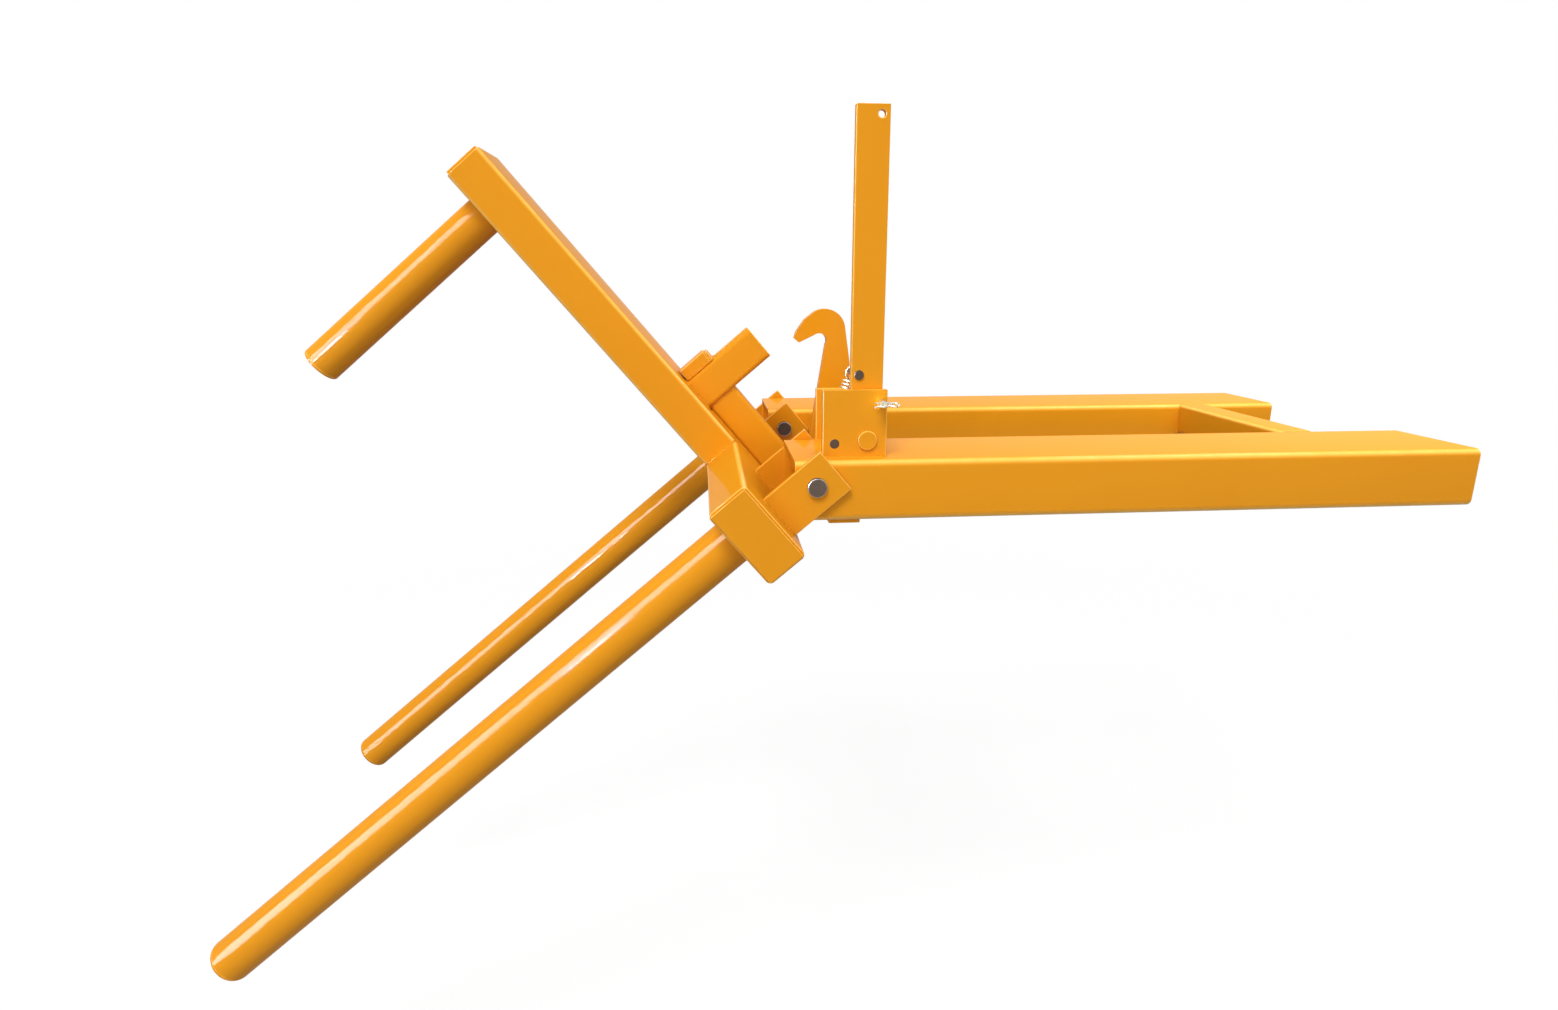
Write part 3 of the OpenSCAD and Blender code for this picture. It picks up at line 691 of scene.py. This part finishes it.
class PaintLook(bpy.types.PropertyGroup):
    """Powder coat on all painted steel"""

    colour: colour_setting("Colour", "Main shade of the paint", (0.885, 0.585, 0.115))
    deep_colour: colour_setting("Deep Colour", "Shade where the paint lies thick", (0.868, 0.567, 0.1))
    # The edge colour and how much it shows lighten the rounded edges: partly thin paint, partly painted
    # highlight.
    edge_thin_paint_and_highlight_colour: colour_setting("Edge Colour", "Shade of thin paint on the edges", (1.0, 0.79, 0.38))
    edge_thin_paint_and_highlight_show: share_setting("Edge Show", "How much the edge shade shows", 0.85)
    roughness: share_setting("Roughness", "Roughness of the paint", 0.42)
    coat: share_setting("Gloss", "Weight of the smooth top of the paint", 0.16)
    edge_coat: share_setting("Edge Gloss", "Weight of the gloss added on the edges", 0.25)
    ior: share_setting("IOR", "Index of refraction of the paint", 1.03, 2.0)
    peel_size: length_setting("Peel Size", "Distance between the waves of the orange peel", 0.0038)
    peel_depth: length_setting("Peel Depth", "Depth of the orange peel", 0.000005)
    nibs: share_setting("Nibs", "Dust nibs to the metre", 16.0, 200.0)
    nib_size: length_setting("Nib Size", "Radius of a dust nib", 0.0008)
    nib_height: length_setting("Nib Height", "Height of a dust nib", 0.00015)


class SteelLook(bpy.types.PropertyGroup):
    """Bare and plated steel of the pins and wires"""

    dark_colour: colour_setting("Dark Colour", "Darker shade of the pins", (0.25, 0.195, 0.155))
    light_colour: colour_setting("Light Colour", "Lighter shade of the pins", (0.33, 0.27, 0.225))
    # The rim colour and the rim shares lighten the pins' rims: partly worn bare steel, partly painted
    # highlight.
    rim_wear_and_highlight_colour: colour_setting("Rim Colour", "Shade of the pins' turned rims", (0.78, 0.76, 0.75))
    small_dark_colour: colour_setting("Small Dark", "Darker shade of the small pins", (0.19, 0.125, 0.06))
    small_light_colour: colour_setting("Small Light", "Lighter shade of the small pins", (0.27, 0.19, 0.11))
    hinge_rim_wear_and_highlight: share_setting("Hinge Rims", "How far the rims of the hinge pins are worn", 0.6)
    small_rim_wear_and_highlight: share_setting("Small Rims", "How far the rims of the small pins are worn", 0.1)
    cool_colour: colour_setting("Cool Zinc", "Cool shade of the zinc plate", (0.80, 0.80, 0.79))
    warm_colour: colour_setting("Warm Zinc", "Warm shade of the zinc plate", (0.90, 0.86, 0.72))
    dull_colour: colour_setting("Dull Zinc", "Shade of the zinc where it has dulled", (0.36, 0.31, 0.23))
    turning_pitch: length_setting("Turning Pitch", "Distance between turning marks", 0.0011)
    turning_depth: length_setting("Turning Depth", "Depth of the turning marks", 0.000012)


class EdgeSizes(bpy.types.PropertyGroup):
    """Radii of the eased edges"""

    plate: length_setting("Plates", "Radius on plate and bar edges", 0.0014)
    hook: length_setting("Hook", "Radius on the hook's edges", 0.0018)
    tube: length_setting("Tubes", "Radius on the ends of tubes", 0.0013)
    small: length_setting("Small Parts", "Radius on small parts", 0.0008)
    pin: length_setting("Pins", "Radius on the ends of pins", 0.0012)
    flush: length_setting("Flush Ends", "Radius on ends that are ground flush", 0.00002)


class WeldSizes(bpy.types.PropertyGroup):
    """Weld beads under the paint"""

    leg: length_setting("Leg", "Leg of the main beads", 0.005)
    thin_leg: length_setting("Thin Leg", "Leg of the beads on plates and on the stub", 0.004)
    small_leg: length_setting("Small Leg", "Leg of the beads on small parts", 0.003)
    ripple_pitch: length_setting("Ripple Pitch", "Distance between ripples", 0.0032)
    ripple_height: length_setting("Ripple Height", "Height of a ripple", 0.00028)
    unevenness: share_setting("Unevenness", "How much the leg varies", 0.35)


class WireSizes(bpy.types.PropertyGroup):
    """Wound spring and hairpin clip"""

    spring_wire: length_setting("Spring Wire", "Diameter of the spring's wire", 0.0024)
    spring_curls: IntProperty(name="Curls", description="Curls of the spring", default=15, min=3, max=40)
    eye_slack: length_setting("Eye Slack", "Room between a spring eye and its pin", 0.0003)
    clip_wire: length_setting("Clip Wire", "Diameter of the clip's wire", 0.0028)
    clip_eye: length_setting("Clip Eye", "Radius of the clip's eye", 0.0052)
    clip_rise: length_setting("Clip Bow", "Rise of the bow that clasps the post", 0.0015)
    clip_tilt: angle_setting("Clip Tilt", "How far the clip's eye hangs down from level", math.radians(17))


class StudioSetup(bpy.types.PropertyGroup):
    """Camera, lamps and floor"""

    camera: FloatVectorProperty(
        name="Camera", description="Place of the camera", default=(-0.1373, -1.3238, 0.2556),
        subtype="XYZ", unit="LENGTH",
    )
    heading: angle_setting("Heading", "Turn of the camera to the right of +Y", 0.0884)
    downward: angle_setting("Downward", "Tilt of the camera below the horizon", 0.2563)
    lens: FloatProperty(name="Lens", description="Focal length", default=20.04, min=1, unit="CAMERA")
    sensor: FloatProperty(name="Sensor", description="Sensor width", default=36.0, min=1, unit="CAMERA")
    floor_gap: length_setting("Floor Gap", "Room below the cradle's lowest reach", 0.03)
    key_level: share_setting("Key", "Level of the main softbox", 0.6, 10.0)
    front_level: share_setting("Front", "Level of the low softbox in front", 0.22, 10.0)
    rear_level: share_setting("Rear", "Level of the softbox above the rear", 0.85, 10.0)
    tine_strip_level: share_setting("Tine Strip", "Shine of the strip along the tines", 9.0, 20.0)
    upper_strip_level: share_setting("Upper Strip", "Shine of the strip along the upper tube", 1.6, 10.0)
    sky_level: share_setting("Sky", "Light from above all round", 0.92, 10.0)
    side_level: share_setting("Sides", "Light from the sides all round", 0.34, 10.0)
    ground_level: share_setting("Ground", "Light from below all round", 0.08, 10.0)


class DrumHandlerSettings(bpy.types.PropertyGroup):
    """All settings of the drum handler"""

    paint: PointerProperty(type=PaintLook)
    steel: PointerProperty(type=SteelLook)
    edges: PointerProperty(type=EdgeSizes)
    welds: PointerProperty(type=WeldSizes)
    wires: PointerProperty(type=WireSizes)
    studio: PointerProperty(type=StudioSetup)


def settings():
    """The settings of this scene."""
    return bpy.context.scene.drum_handler


def coat():
    """The one paint of all painted pieces, made when it is first asked for."""
    return bpy.data.materials.get("yellow_powder_coat") or powder_coat(settings().paint)


def plating():
    """The one zinc plate of the wire parts."""
    return bpy.data.materials.get("bright_zinc") or zinc(settings().steel)


def paint_nodes(nodes, radius):
    """Eases the edges of painted nodes."""
    for node in nodes:
        eased(node, radius, coat())


# Operators, one for each piece or group of like pieces, with the functions that they need


class DRUMHANDLER_OT_sleeves(bpy.types.Operator):
    """Ease and paint the fork sleeves, their cross tubes, bushes and wear pads"""

    bl_idname = "drumhandler.sleeves"
    bl_label = "Fork Sleeves"

    def execute(self, context):
        sizes = settings().edges
        paint_nodes(SLEEVES + FRAME_CROSSES, sizes.tube)
        paint_nodes(WEAR_PADS, sizes.plate)
        paint_nodes(("left_hinge_bush", "right_hinge_bush"), sizes.small / 2)
        return {"FINISHED"}


class DRUMHANDLER_OT_latch_plates(bpy.types.Operator):
    """Ease and paint the plates that carry the latch"""

    bl_idname = "drumhandler.latch_plates"
    bl_label = "Latch Plates"

    def execute(self, context):
        sizes = settings().edges
        paint_nodes(LATCH_PLATES + HOOK_CHEEKS, sizes.plate)
        paint_nodes(("anchor_spacer",), sizes.small)
        return {"FINISHED"}


class DRUMHANDLER_OT_latch(bpy.types.Operator):
    """Ease and paint the lever, shaft, collar and hook"""

    bl_idname = "drumhandler.latch"
    bl_label = "Lever and Hook"

    def execute(self, context):
        sizes = settings().edges
        paint_nodes(("release_lever", "latch_shaft", "shaft_collar"), sizes.plate)
        paint_nodes(("latch_hook",), sizes.hook)
        return {"FINISHED"}


class DRUMHANDLER_OT_cradle(bpy.types.Operator):
    """Ease and paint the cradle's square tubes, end plates, stub and stop"""

    bl_idname = "drumhandler.cradle"
    bl_label = "Cradle"

    def execute(self, context):
        sizes = settings().edges
        paint_nodes(("cradle_cross_tube", "cradle_post", "catch_stub", "post_brace"), sizes.tube)
        paint_nodes(("left_cross_tube_cap", "right_cross_tube_cap", "post_cap"), sizes.small)
        paint_nodes(("stop_block", "stop_plate"), sizes.plate)
        paint_nodes(("catch_pin",), sizes.flush)
        paint_nodes(LUGS, sizes.plate)
        return {"FINISHED"}


class DRUMHANDLER_OT_tines(bpy.types.Operator):
    """Ease and paint the round tines and the upper tube"""

    bl_idname = "drumhandler.tines"
    bl_label = "Tines and Upper Tube"

    def execute(self, context):
        sizes = settings().edges
        paint_nodes(TINES + ("upper_tube", "upper_tube_cap"), sizes.small)
        paint_nodes(("left_tine_cap", "right_tine_cap"), sizes.small / 2)
        return {"FINISHED"}


class DRUMHANDLER_OT_pins(bpy.types.Operator):
    """Turn the dark steel pins"""

    bl_idname = "drumhandler.pins"
    bl_label = "Pins"

    def execute(self, context):
        look, sizes = settings().steel, settings().edges
        shades = look.dark_colour, look.light_colour
        hinge_steel = turned_steel("hinge_pin_steel", look, HINGE, look.hinge_rim_wear_and_highlight, *shades)
        for node in HINGE_PINS:
            eased(node, sizes.pin, hinge_steel)
        shades = look.small_dark_colour, look.small_light_colour
        for node in SPRING_PINS:
            steel = turned_steel(node + "_steel", look, middle(node), look.small_rim_wear_and_highlight, *shades)
            eased(node, sizes.small, steel)
        return {"FINISHED"}


def bezier(handles, share):
    """A point on the cubic curve of four handles."""
    rest = 1 - share
    weights = (rest ** 3, 3 * rest ** 2 * share, 3 * rest * share * share, share ** 3)
    return sum((weight * handle for weight, handle in zip(weights, handles)), Vector())


def spring_points(sizes):
    """The spring's line from the anchor pin's eye through the curls to the peg's eye."""
    ring_steps, eye_steps, neck_steps = 16, 20, 6
    eye_growth = 0.6 * MM
    neck_growth = 0.2 * MM
    lead, pull = 1 * MM, 0.6
    eye_start, eye_end = math.radians(90), math.radians(342)
    anchor, peg = middle("spring_anchor_pin"), middle("spring_peg")
    low, high = span("latch_spring")
    coil_r = (high.y - low.y - sizes.spring_wire) / 2
    eye_r = coil_r + eye_growth
    axis = Vector((peg.x - anchor.x, 0, peg.z - anchor.z))
    reach = axis.length
    axis.normalize()
    square = Y.cross(axis)
    eye_a = reach - (eye_r - sizes.spring_wire / 2 - bar_radius("spring_peg") - sizes.eye_slack)
    neck = eye_r + neck_growth
    coil_end = eye_a - neck
    coil_start = reach - coil_end
    eye = []
    for k in range(eye_steps + 1):
        angle = eye_start + (eye_end - eye_start) * k / eye_steps
        eye.append(Vector((eye_a - eye_r * math.cos(angle), eye_r * math.sin(angle), 0)))
    handles = (
        Vector((coil_end, coil_r, 0)),
        Vector((coil_end + lead, coil_r, neck * 0.5)),
        Vector((eye_a - neck * pull, eye_r, 0)),
        eye[0],
    )
    top = [bezier(handles, k / neck_steps) for k in range(1, neck_steps)] + eye
    total = sizes.spring_curls * ring_steps
    coil = []
    for k in range(total + 1):
        angle = math.tau * k / ring_steps
        height = coil_start + (coil_end - coil_start) * k / total
        coil.append(Vector((height, coil_r * math.cos(angle), coil_r * math.sin(angle))))
    foot = [Vector((reach - p.x, p.y, -p.z)) for p in reversed(top)]
    base = Vector((anchor.x, (low.y + high.y) / 2, anchor.z))
    return [base + axis * p.x + square * p.y + Y * p.z for p in foot + coil + top]


class DRUMHANDLER_OT_spring(bpy.types.Operator):
    """Wind the latch spring between the anchor pin and the peg"""

    bl_idname = "drumhandler.spring"
    bl_label = "Latch Spring"

    def execute(self, context):
        sizes = settings().wires
        values = {"Wire": sizes.spring_wire, "Step": 1.1 * MM, "Material": plating()}
        mesh = path_mesh("spring_line", spring_points(sizes))
        spring = grown("latch_spring_wound", mesh, wire_tree(), values)
        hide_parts("latch_spring")
        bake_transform(spring)
        return {"FINISHED"}


def clip_points(sizes):
    """The clip's line: the straight leg through the post, the eye, and the leg that clasps the post."""
    eye_steps = 18
    eye_start, eye_turn = 75, 300
    reach = 9 * MM
    room = 0.4 * MM
    post = middle("clip_post")
    high = span("hairpin_clip")[1]
    half_wire = sizes.clip_wire / 2
    leg_y = high.y - half_wire
    eye_x = high.x - half_wire - sizes.clip_eye - post.x
    gap = bar_radius("clip_post") + half_wire + room
    post_face = span("clip_post")[0].y
    bow = (leg_y - post_face + half_wire + room) / math.cos(sizes.clip_tilt)
    rise = sizes.clip_rise
    local = [(-reach, 0), (-reach / 3, 0), (reach / 3, 0), (reach, 0)]
    for k in range(eye_steps + 1):
        angle = math.radians(eye_start - eye_turn * k / eye_steps)
        local.append((eye_x + sizes.clip_eye * math.cos(angle), sizes.clip_eye * (math.sin(angle) - 1)))
    local += [
        (gap + 1 * MM, -bow * 0.8),
        (gap - 2 * MM, -bow),
        (0, -bow - rise),
        (-gap + 1 * MM, -bow),
        (-gap - 1 * MM, -bow),
        (-gap - 3 * MM, -bow - rise),
        (-gap - 5.4 * MM, -bow - 2 * rise),
    ]
    down = Vector((0, math.cos(sizes.clip_tilt), math.sin(sizes.clip_tilt)))
    return [Vector((post.x + x, leg_y, post.z)) + down * y for x, y in local]


class DRUMHANDLER_OT_clip(bpy.types.Operator):
    """Bend the hairpin clip and plate its post"""

    bl_idname = "drumhandler.clip"
    bl_label = "Hairpin Clip"

    def execute(self, context):
        sizes = settings().wires
        values = {"Wire": sizes.clip_wire, "Step": 0.8 * MM, "Material": plating()}
        mesh = path_mesh("clip_line", clip_points(sizes))
        clip = grown("hairpin_clip_bent", mesh, wire_tree(), values)
        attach(clip, "clip")
        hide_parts("hairpin_clip")
        eased("clip_post", settings().edges.small / 2, plating())
        return {"FINISHED"}


def frame_seams(sizes):
    """Weld seams of the fork frame."""
    corner = 6 * MM
    groove_inset, groove_depth = 2.8 * MM, 3.5 * MM
    seams = Seams("fork_frame")
    for node in FRAME_CROSSES:
        low, high = span(node)
        centre = (low + high) / 2
        for end_y, sign in ((low.y, 1), (high.y, -1)):
            root = Vector((centre.x, end_y, centre.z))
            points, ways = outline(root, X, -Z, (high.x - low.x) / 2, (high.z - low.z) / 2, corner)
            half = len(points) // 2
            seams.line(points[-1:] + points[:half], ways[-1:] + ways[:half], Y * sign, sizes.leg)
            top = [Vector((x, end_y - sign * groove_inset, high.z)) for x in (low.x, high.x)]
            seams.groove(*top, Z, Y * sign, groove_depth, sizes.thin_leg)
    lug_side = span("left_inner_lug")[0].y
    for node in LATCH_PLATES:
        low, high = span(node)
        seams.foot(low, high, low.z, Z, sizes.leg, far=high.y + sizes.leg < lug_side)
    cross_low, cross_high = span("front_cross_tube")
    for node in HOOK_CHEEKS:
        low, high = span(node)
        foot_low = Vector((cross_low.x, low.y, 0))
        foot_high = Vector((min(high.x, cross_high.x), high.y, 0))
        seams.foot(foot_low, foot_high, cross_high.z, Z, sizes.small_leg)
    for node in WEAR_PADS:
        low, high = span(node)
        seams.foot(low, high, high.z, -Z, sizes.small_leg)
    return seams


def latch_seams(sizes):
    """Weld seam that joins the lever to its shaft."""
    seams = Seams("latch")
    shaft, radius = middle("latch_shaft"), bar_radius("latch_shaft")
    root = Vector((shaft.x, span("release_lever")[1].y, shaft.z))
    seams.ring(root, X, Z, radius, radius, Y, sizes.thin_leg)
    return seams


def cradle_seams(sizes):
    """Weld seams of the cradle, drawn on the upright cradle."""
    corner = 7 * MM
    groove_inset, groove_depth = 2 * MM, 2.6 * MM
    groove_leg = 0.68 * sizes.leg
    block_leg = 0.6 * sizes.small_leg
    seams = Seams("cradle", CRADLE)
    cross_low, cross_high = span("cradle_cross_tube", CRADLE)
    post_low, post_high = span("cradle_post", CRADLE)
    top, back, front = cross_high.z, cross_high.x, cross_low.x
    for node in LUGS:
        low, high = span(node, CRADLE)
        for y, way in ((low.y, -Y), (high.y, Y)):
            seams.run(Vector((back, y, low.z)), Vector((back, y, high.z)), way, X, sizes.thin_leg)
    for y, way in ((post_low.y, -Y), (post_high.y, Y)):
        ends = [Vector((x, y, top)) for x in (front + corner, back - corner)]
        seams.run(*ends, way, Z, sizes.leg)
    for x, way in ((front, -X), (back, X)):
        ends = [Vector((x, y, top - groove_inset)) for y in (post_low.y, post_high.y)]
        seams.groove(*ends, way, Z, groove_depth, groove_leg)
    for node in TINES + ("upper_tube",):
        low, high = span(node, CRADLE)
        radius = (high.y - low.y) / 2
        centre = Vector((high.x, (low.y + high.y) / 2, (low.z + high.z) / 2))
        seams.ring(centre, Y, Z, radius, radius, -X, sizes.leg)
    low, high = span("catch_stub", CRADLE)
    root = Vector((low.x, 0, (low.z + high.z) / 2))
    seams.ring(root, Y, Z, (high.y - low.y) / 2, corner, X, sizes.thin_leg)
    low, high = span("post_brace", CRADLE)
    for y, way in ((low.y, -Y), (high.y, Y)):
        end = Vector((back, y, high.z - sizes.leg))
        seams.run(Vector((back, y, low.z)), end, way, X, sizes.thin_leg)
    low, high = span("stop_block", CRADLE)
    end_x = span("stop_plate", CRADLE)[1].x
    for y, way in ((low.y, -Y), (high.y, Y)):
        seams.run(Vector((low.x, y, low.z)), Vector((end_x, y, low.z)), way, Z, block_leg)
    ends = [Vector((end_x, y, low.z)) for y in (low.y, high.y)]
    seams.run(*ends, X, Z, sizes.small_leg)
    return seams


class DRUMHANDLER_OT_welds(bpy.types.Operator):
    """Lay the weld beads of each body"""

    bl_idname = "drumhandler.welds"
    bl_label = "Weld Beads"

    def execute(self, context):
        sizes = settings().welds
        tree = bead_tree()
        values = {
            "Ripple Pitch": sizes.ripple_pitch,
            "Ripple Height": sizes.ripple_height,
            "Unevenness": sizes.unevenness,
            "Material": coat(),
        }
        for seams in (frame_seams(sizes), latch_seams(sizes), cradle_seams(sizes)):
            beads = grown(seams.body + "_welds", seams.mesh(), tree, values)
            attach(beads, seams.body)
        return {"FINISHED"}


def lamp(name, level, target, way, distance, width, length, along, shine=True, light_up=True):
    """A softbox that lights the target at about that level from that way. Its length lies along a line."""
    data = bpy.data.lights.new(name, "AREA")
    data.shape = "RECTANGLE"
    data.size, data.size_y = width, length
    data.energy = level * math.pi ** 2 * distance ** 2
    back = way.normalized()
    up = (along - back * along.dot(back)).normalized()
    turn = Matrix((up.cross(back), up, back)).transposed().to_4x4()
    light = shown(name, data)
    light.matrix_world = Matrix.Translation(target + back * distance) @ turn
    light.visible_camera = False
    light.visible_diffuse = light_up
    light.visible_glossy = shine


def seen_share(graph):
    """1 for rays that show the background: straight from the camera, mirrored or through glass."""
    path = graph.add("ShaderNodeLightPath")
    seen = path.of("Is Camera Ray").most(path.of("Is Glossy Ray"))
    return seen.most(path.of("Is Transmission Ray"))


def floor_material():
    """A white floor that keeps shadows near the object and throws little light up."""
    bounce, paper_white, near_glow = 0.2, 0.92, 0.78
    shadow_end, white_start = 1.6, 4.0
    material, graph = new_material("studio_floor")
    away = graph.length(graph.place())
    white = graph.add("ShaderNodeEmission", {}, {"Color": (1, 1, 1, 1), "Strength": 1.0})
    paper = graph.add("ShaderNodeBsdfDiffuse", {}, {"Color": (*[paper_white] * 3, 1)})
    glow = near_glow + (1 - near_glow) * away.above(shadow_end, white_start)
    near = graph.add("ShaderNodeMixShader", {}, {0: glow, 1: paper, 2: white})
    dull = graph.add("ShaderNodeBsdfDiffuse", {}, {"Color": (*[bounce] * 3, 1)})
    shader = graph.add("ShaderNodeMixShader", {}, {0: seen_share(graph), 1: dull, 2: near})
    graph.add("ShaderNodeOutputMaterial", {}, {"Surface": shader})
    return material


def studio_sky(setup):
    """A world that is white to look at and lights the object softly from all round."""
    full_sky, full_ground = 0.8, 0.6
    world = bpy.data.worlds.new("studio_sky")
    bpy.context.scene.world = world
    world.use_nodes = True
    graph = Graph(world.node_tree)
    way = graph.add("ShaderNodeTexCoord").of("Generated")
    height = graph.add("ShaderNodeSeparateXYZ", {}, {0: way}).of("Z")
    upper = setup.side_level + (setup.sky_level - setup.side_level) * height.above(0.0, full_sky)
    level = upper + (setup.ground_level - setup.side_level) * (0 - height).above(0.0, full_ground)
    seen = seen_share(graph)
    strength = seen + (1 - seen) * level
    sky = graph.add("ShaderNodeBackground", {}, {"Color": (1, 1, 1, 1), "Strength": strength})
    graph.add("ShaderNodeOutputWorld", {}, {"Surface": sky})


def photo_camera(setup):
    """The camera at the photograph's place."""
    data = bpy.data.cameras.new("photo_camera")
    data.lens, data.sensor_width = setup.lens, setup.sensor
    data.clip_start, data.clip_end = 0.02, 60
    camera = shown("photo_camera", data)
    camera.location = setup.camera
    camera.rotation_euler = (math.pi / 2 - setup.downward, 0, -setup.heading)
    bpy.context.scene.camera = camera


def studio_floor(setup):
    """A floor below all that the cradle reaches as it tilts."""
    half = 12.0
    reach = max(
        math.hypot(v.co.x - HINGE.x, v.co.z - HINGE.z)
        for node in CRADLE_NODES for v in frame["nodes"][node].data.vertices
    )
    level = HINGE.z - reach - setup.floor_gap
    mesh = bpy.data.meshes.new("studio_floor")
    corners = [(-half, -half, level), (half, -half, level), (half, half, level), (-half, half, level)]
    mesh.from_pydata(corners, [], [(0, 1, 2, 3)])
    mesh.materials.append(floor_material())
    shown("studio_floor", mesh)


def studio_lamps(setup):
    """Softboxes that light the object, and strips that only shine along the round tubes."""
    tubes = CRADLE.to_3x3() @ -X
    outward = 0.06
    far, near = 6.0, 2.6
    lamp(
        "key_softbox", setup.key_level, Vector(), Vector((-0.25, -0.6, 0.76)),
        distance=far, width=1.8, length=1.8, along=X,
    )
    lamp(
        "front_softbox", setup.front_level, Vector((0.4, 0, 0)), Vector((-0.35, -1.0, 0.0)),
        distance=far, width=1.6, length=3.5, along=X, shine=False,
    )
    lamp(
        "rear_softbox", setup.rear_level, Vector((0.95, -0.05, 0)), Z,
        distance=0.85, width=0.6, length=0.7, along=Y,
    )
    lamp(
        "tine_strip", setup.tine_strip_level, middle("left_tine"), Vector((-0.837, -0.429, 0.334)),
        distance=near, width=1.3, length=2.6, along=tubes, light_up=False,
    )
    lamp(
        "upper_strip", setup.upper_strip_level,
        middle("upper_tube") + outward * tubes, Vector((-0.624, -0.82, 0.154)),
        distance=near, width=0.14, length=0.4, along=tubes, light_up=False,
    )


class DRUMHANDLER_OT_studio(bpy.types.Operator):
    """Set up the camera, the lamps, the sky and the floor"""

    bl_idname = "drumhandler.studio"
    bl_label = "Studio"

    def execute(self, context):
        setup = settings().studio
        context.scene.view_settings.view_transform = "Standard"
        photo_camera(setup)
        studio_floor(setup)
        studio_lamps(setup)
        studio_sky(setup)
        return {"FINISHED"}


class DRUMHANDLER_PT_panel(bpy.types.Panel):
    """Lists the steps that finish the drum handler"""

    bl_idname = "DRUMHANDLER_PT_panel"
    bl_label = "Drum Handler"
    bl_space_type = "VIEW_3D"
    bl_region_type = "UI"
    bl_category = "Drum Handler"

    def draw(self, context):
        for step in OPERATORS:
            self.layout.operator(step.bl_idname)
        for group in ("paint", "steel", "edges", "welds", "wires", "studio"):
            box = self.layout.box()
            box.label(text=group.title())
            part = getattr(context.scene.drum_handler, group)
            for name in part.__annotations__:
                box.prop(part, name)


GROUPS = (PaintLook, SteelLook, EdgeSizes, WeldSizes, WireSizes, StudioSetup, DrumHandlerSettings)
OPERATORS = (
    DRUMHANDLER_OT_sleeves,
    DRUMHANDLER_OT_latch_plates,
    DRUMHANDLER_OT_latch,
    DRUMHANDLER_OT_cradle,
    DRUMHANDLER_OT_tines,
    DRUMHANDLER_OT_pins,
    DRUMHANDLER_OT_spring,
    DRUMHANDLER_OT_clip,
    DRUMHANDLER_OT_welds,
    DRUMHANDLER_OT_studio,
)
CLASSES = GROUPS + OPERATORS + (DRUMHANDLER_PT_panel,)


def register():
    for cls in CLASSES:
        bpy.utils.register_class(cls)
    bpy.types.Scene.drum_handler = PointerProperty(type=DrumHandlerSettings)


def unregister():
    del bpy.types.Scene.drum_handler
    for cls in reversed(CLASSES):
        bpy.utils.unregister_class(cls)


def main():
    """Registers the add-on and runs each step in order."""
    register()
    for step in OPERATORS:
        group, name = step.bl_idname.split(".")
        getattr(getattr(bpy.ops, group), name)()


if __name__ == "__main__":
    main()
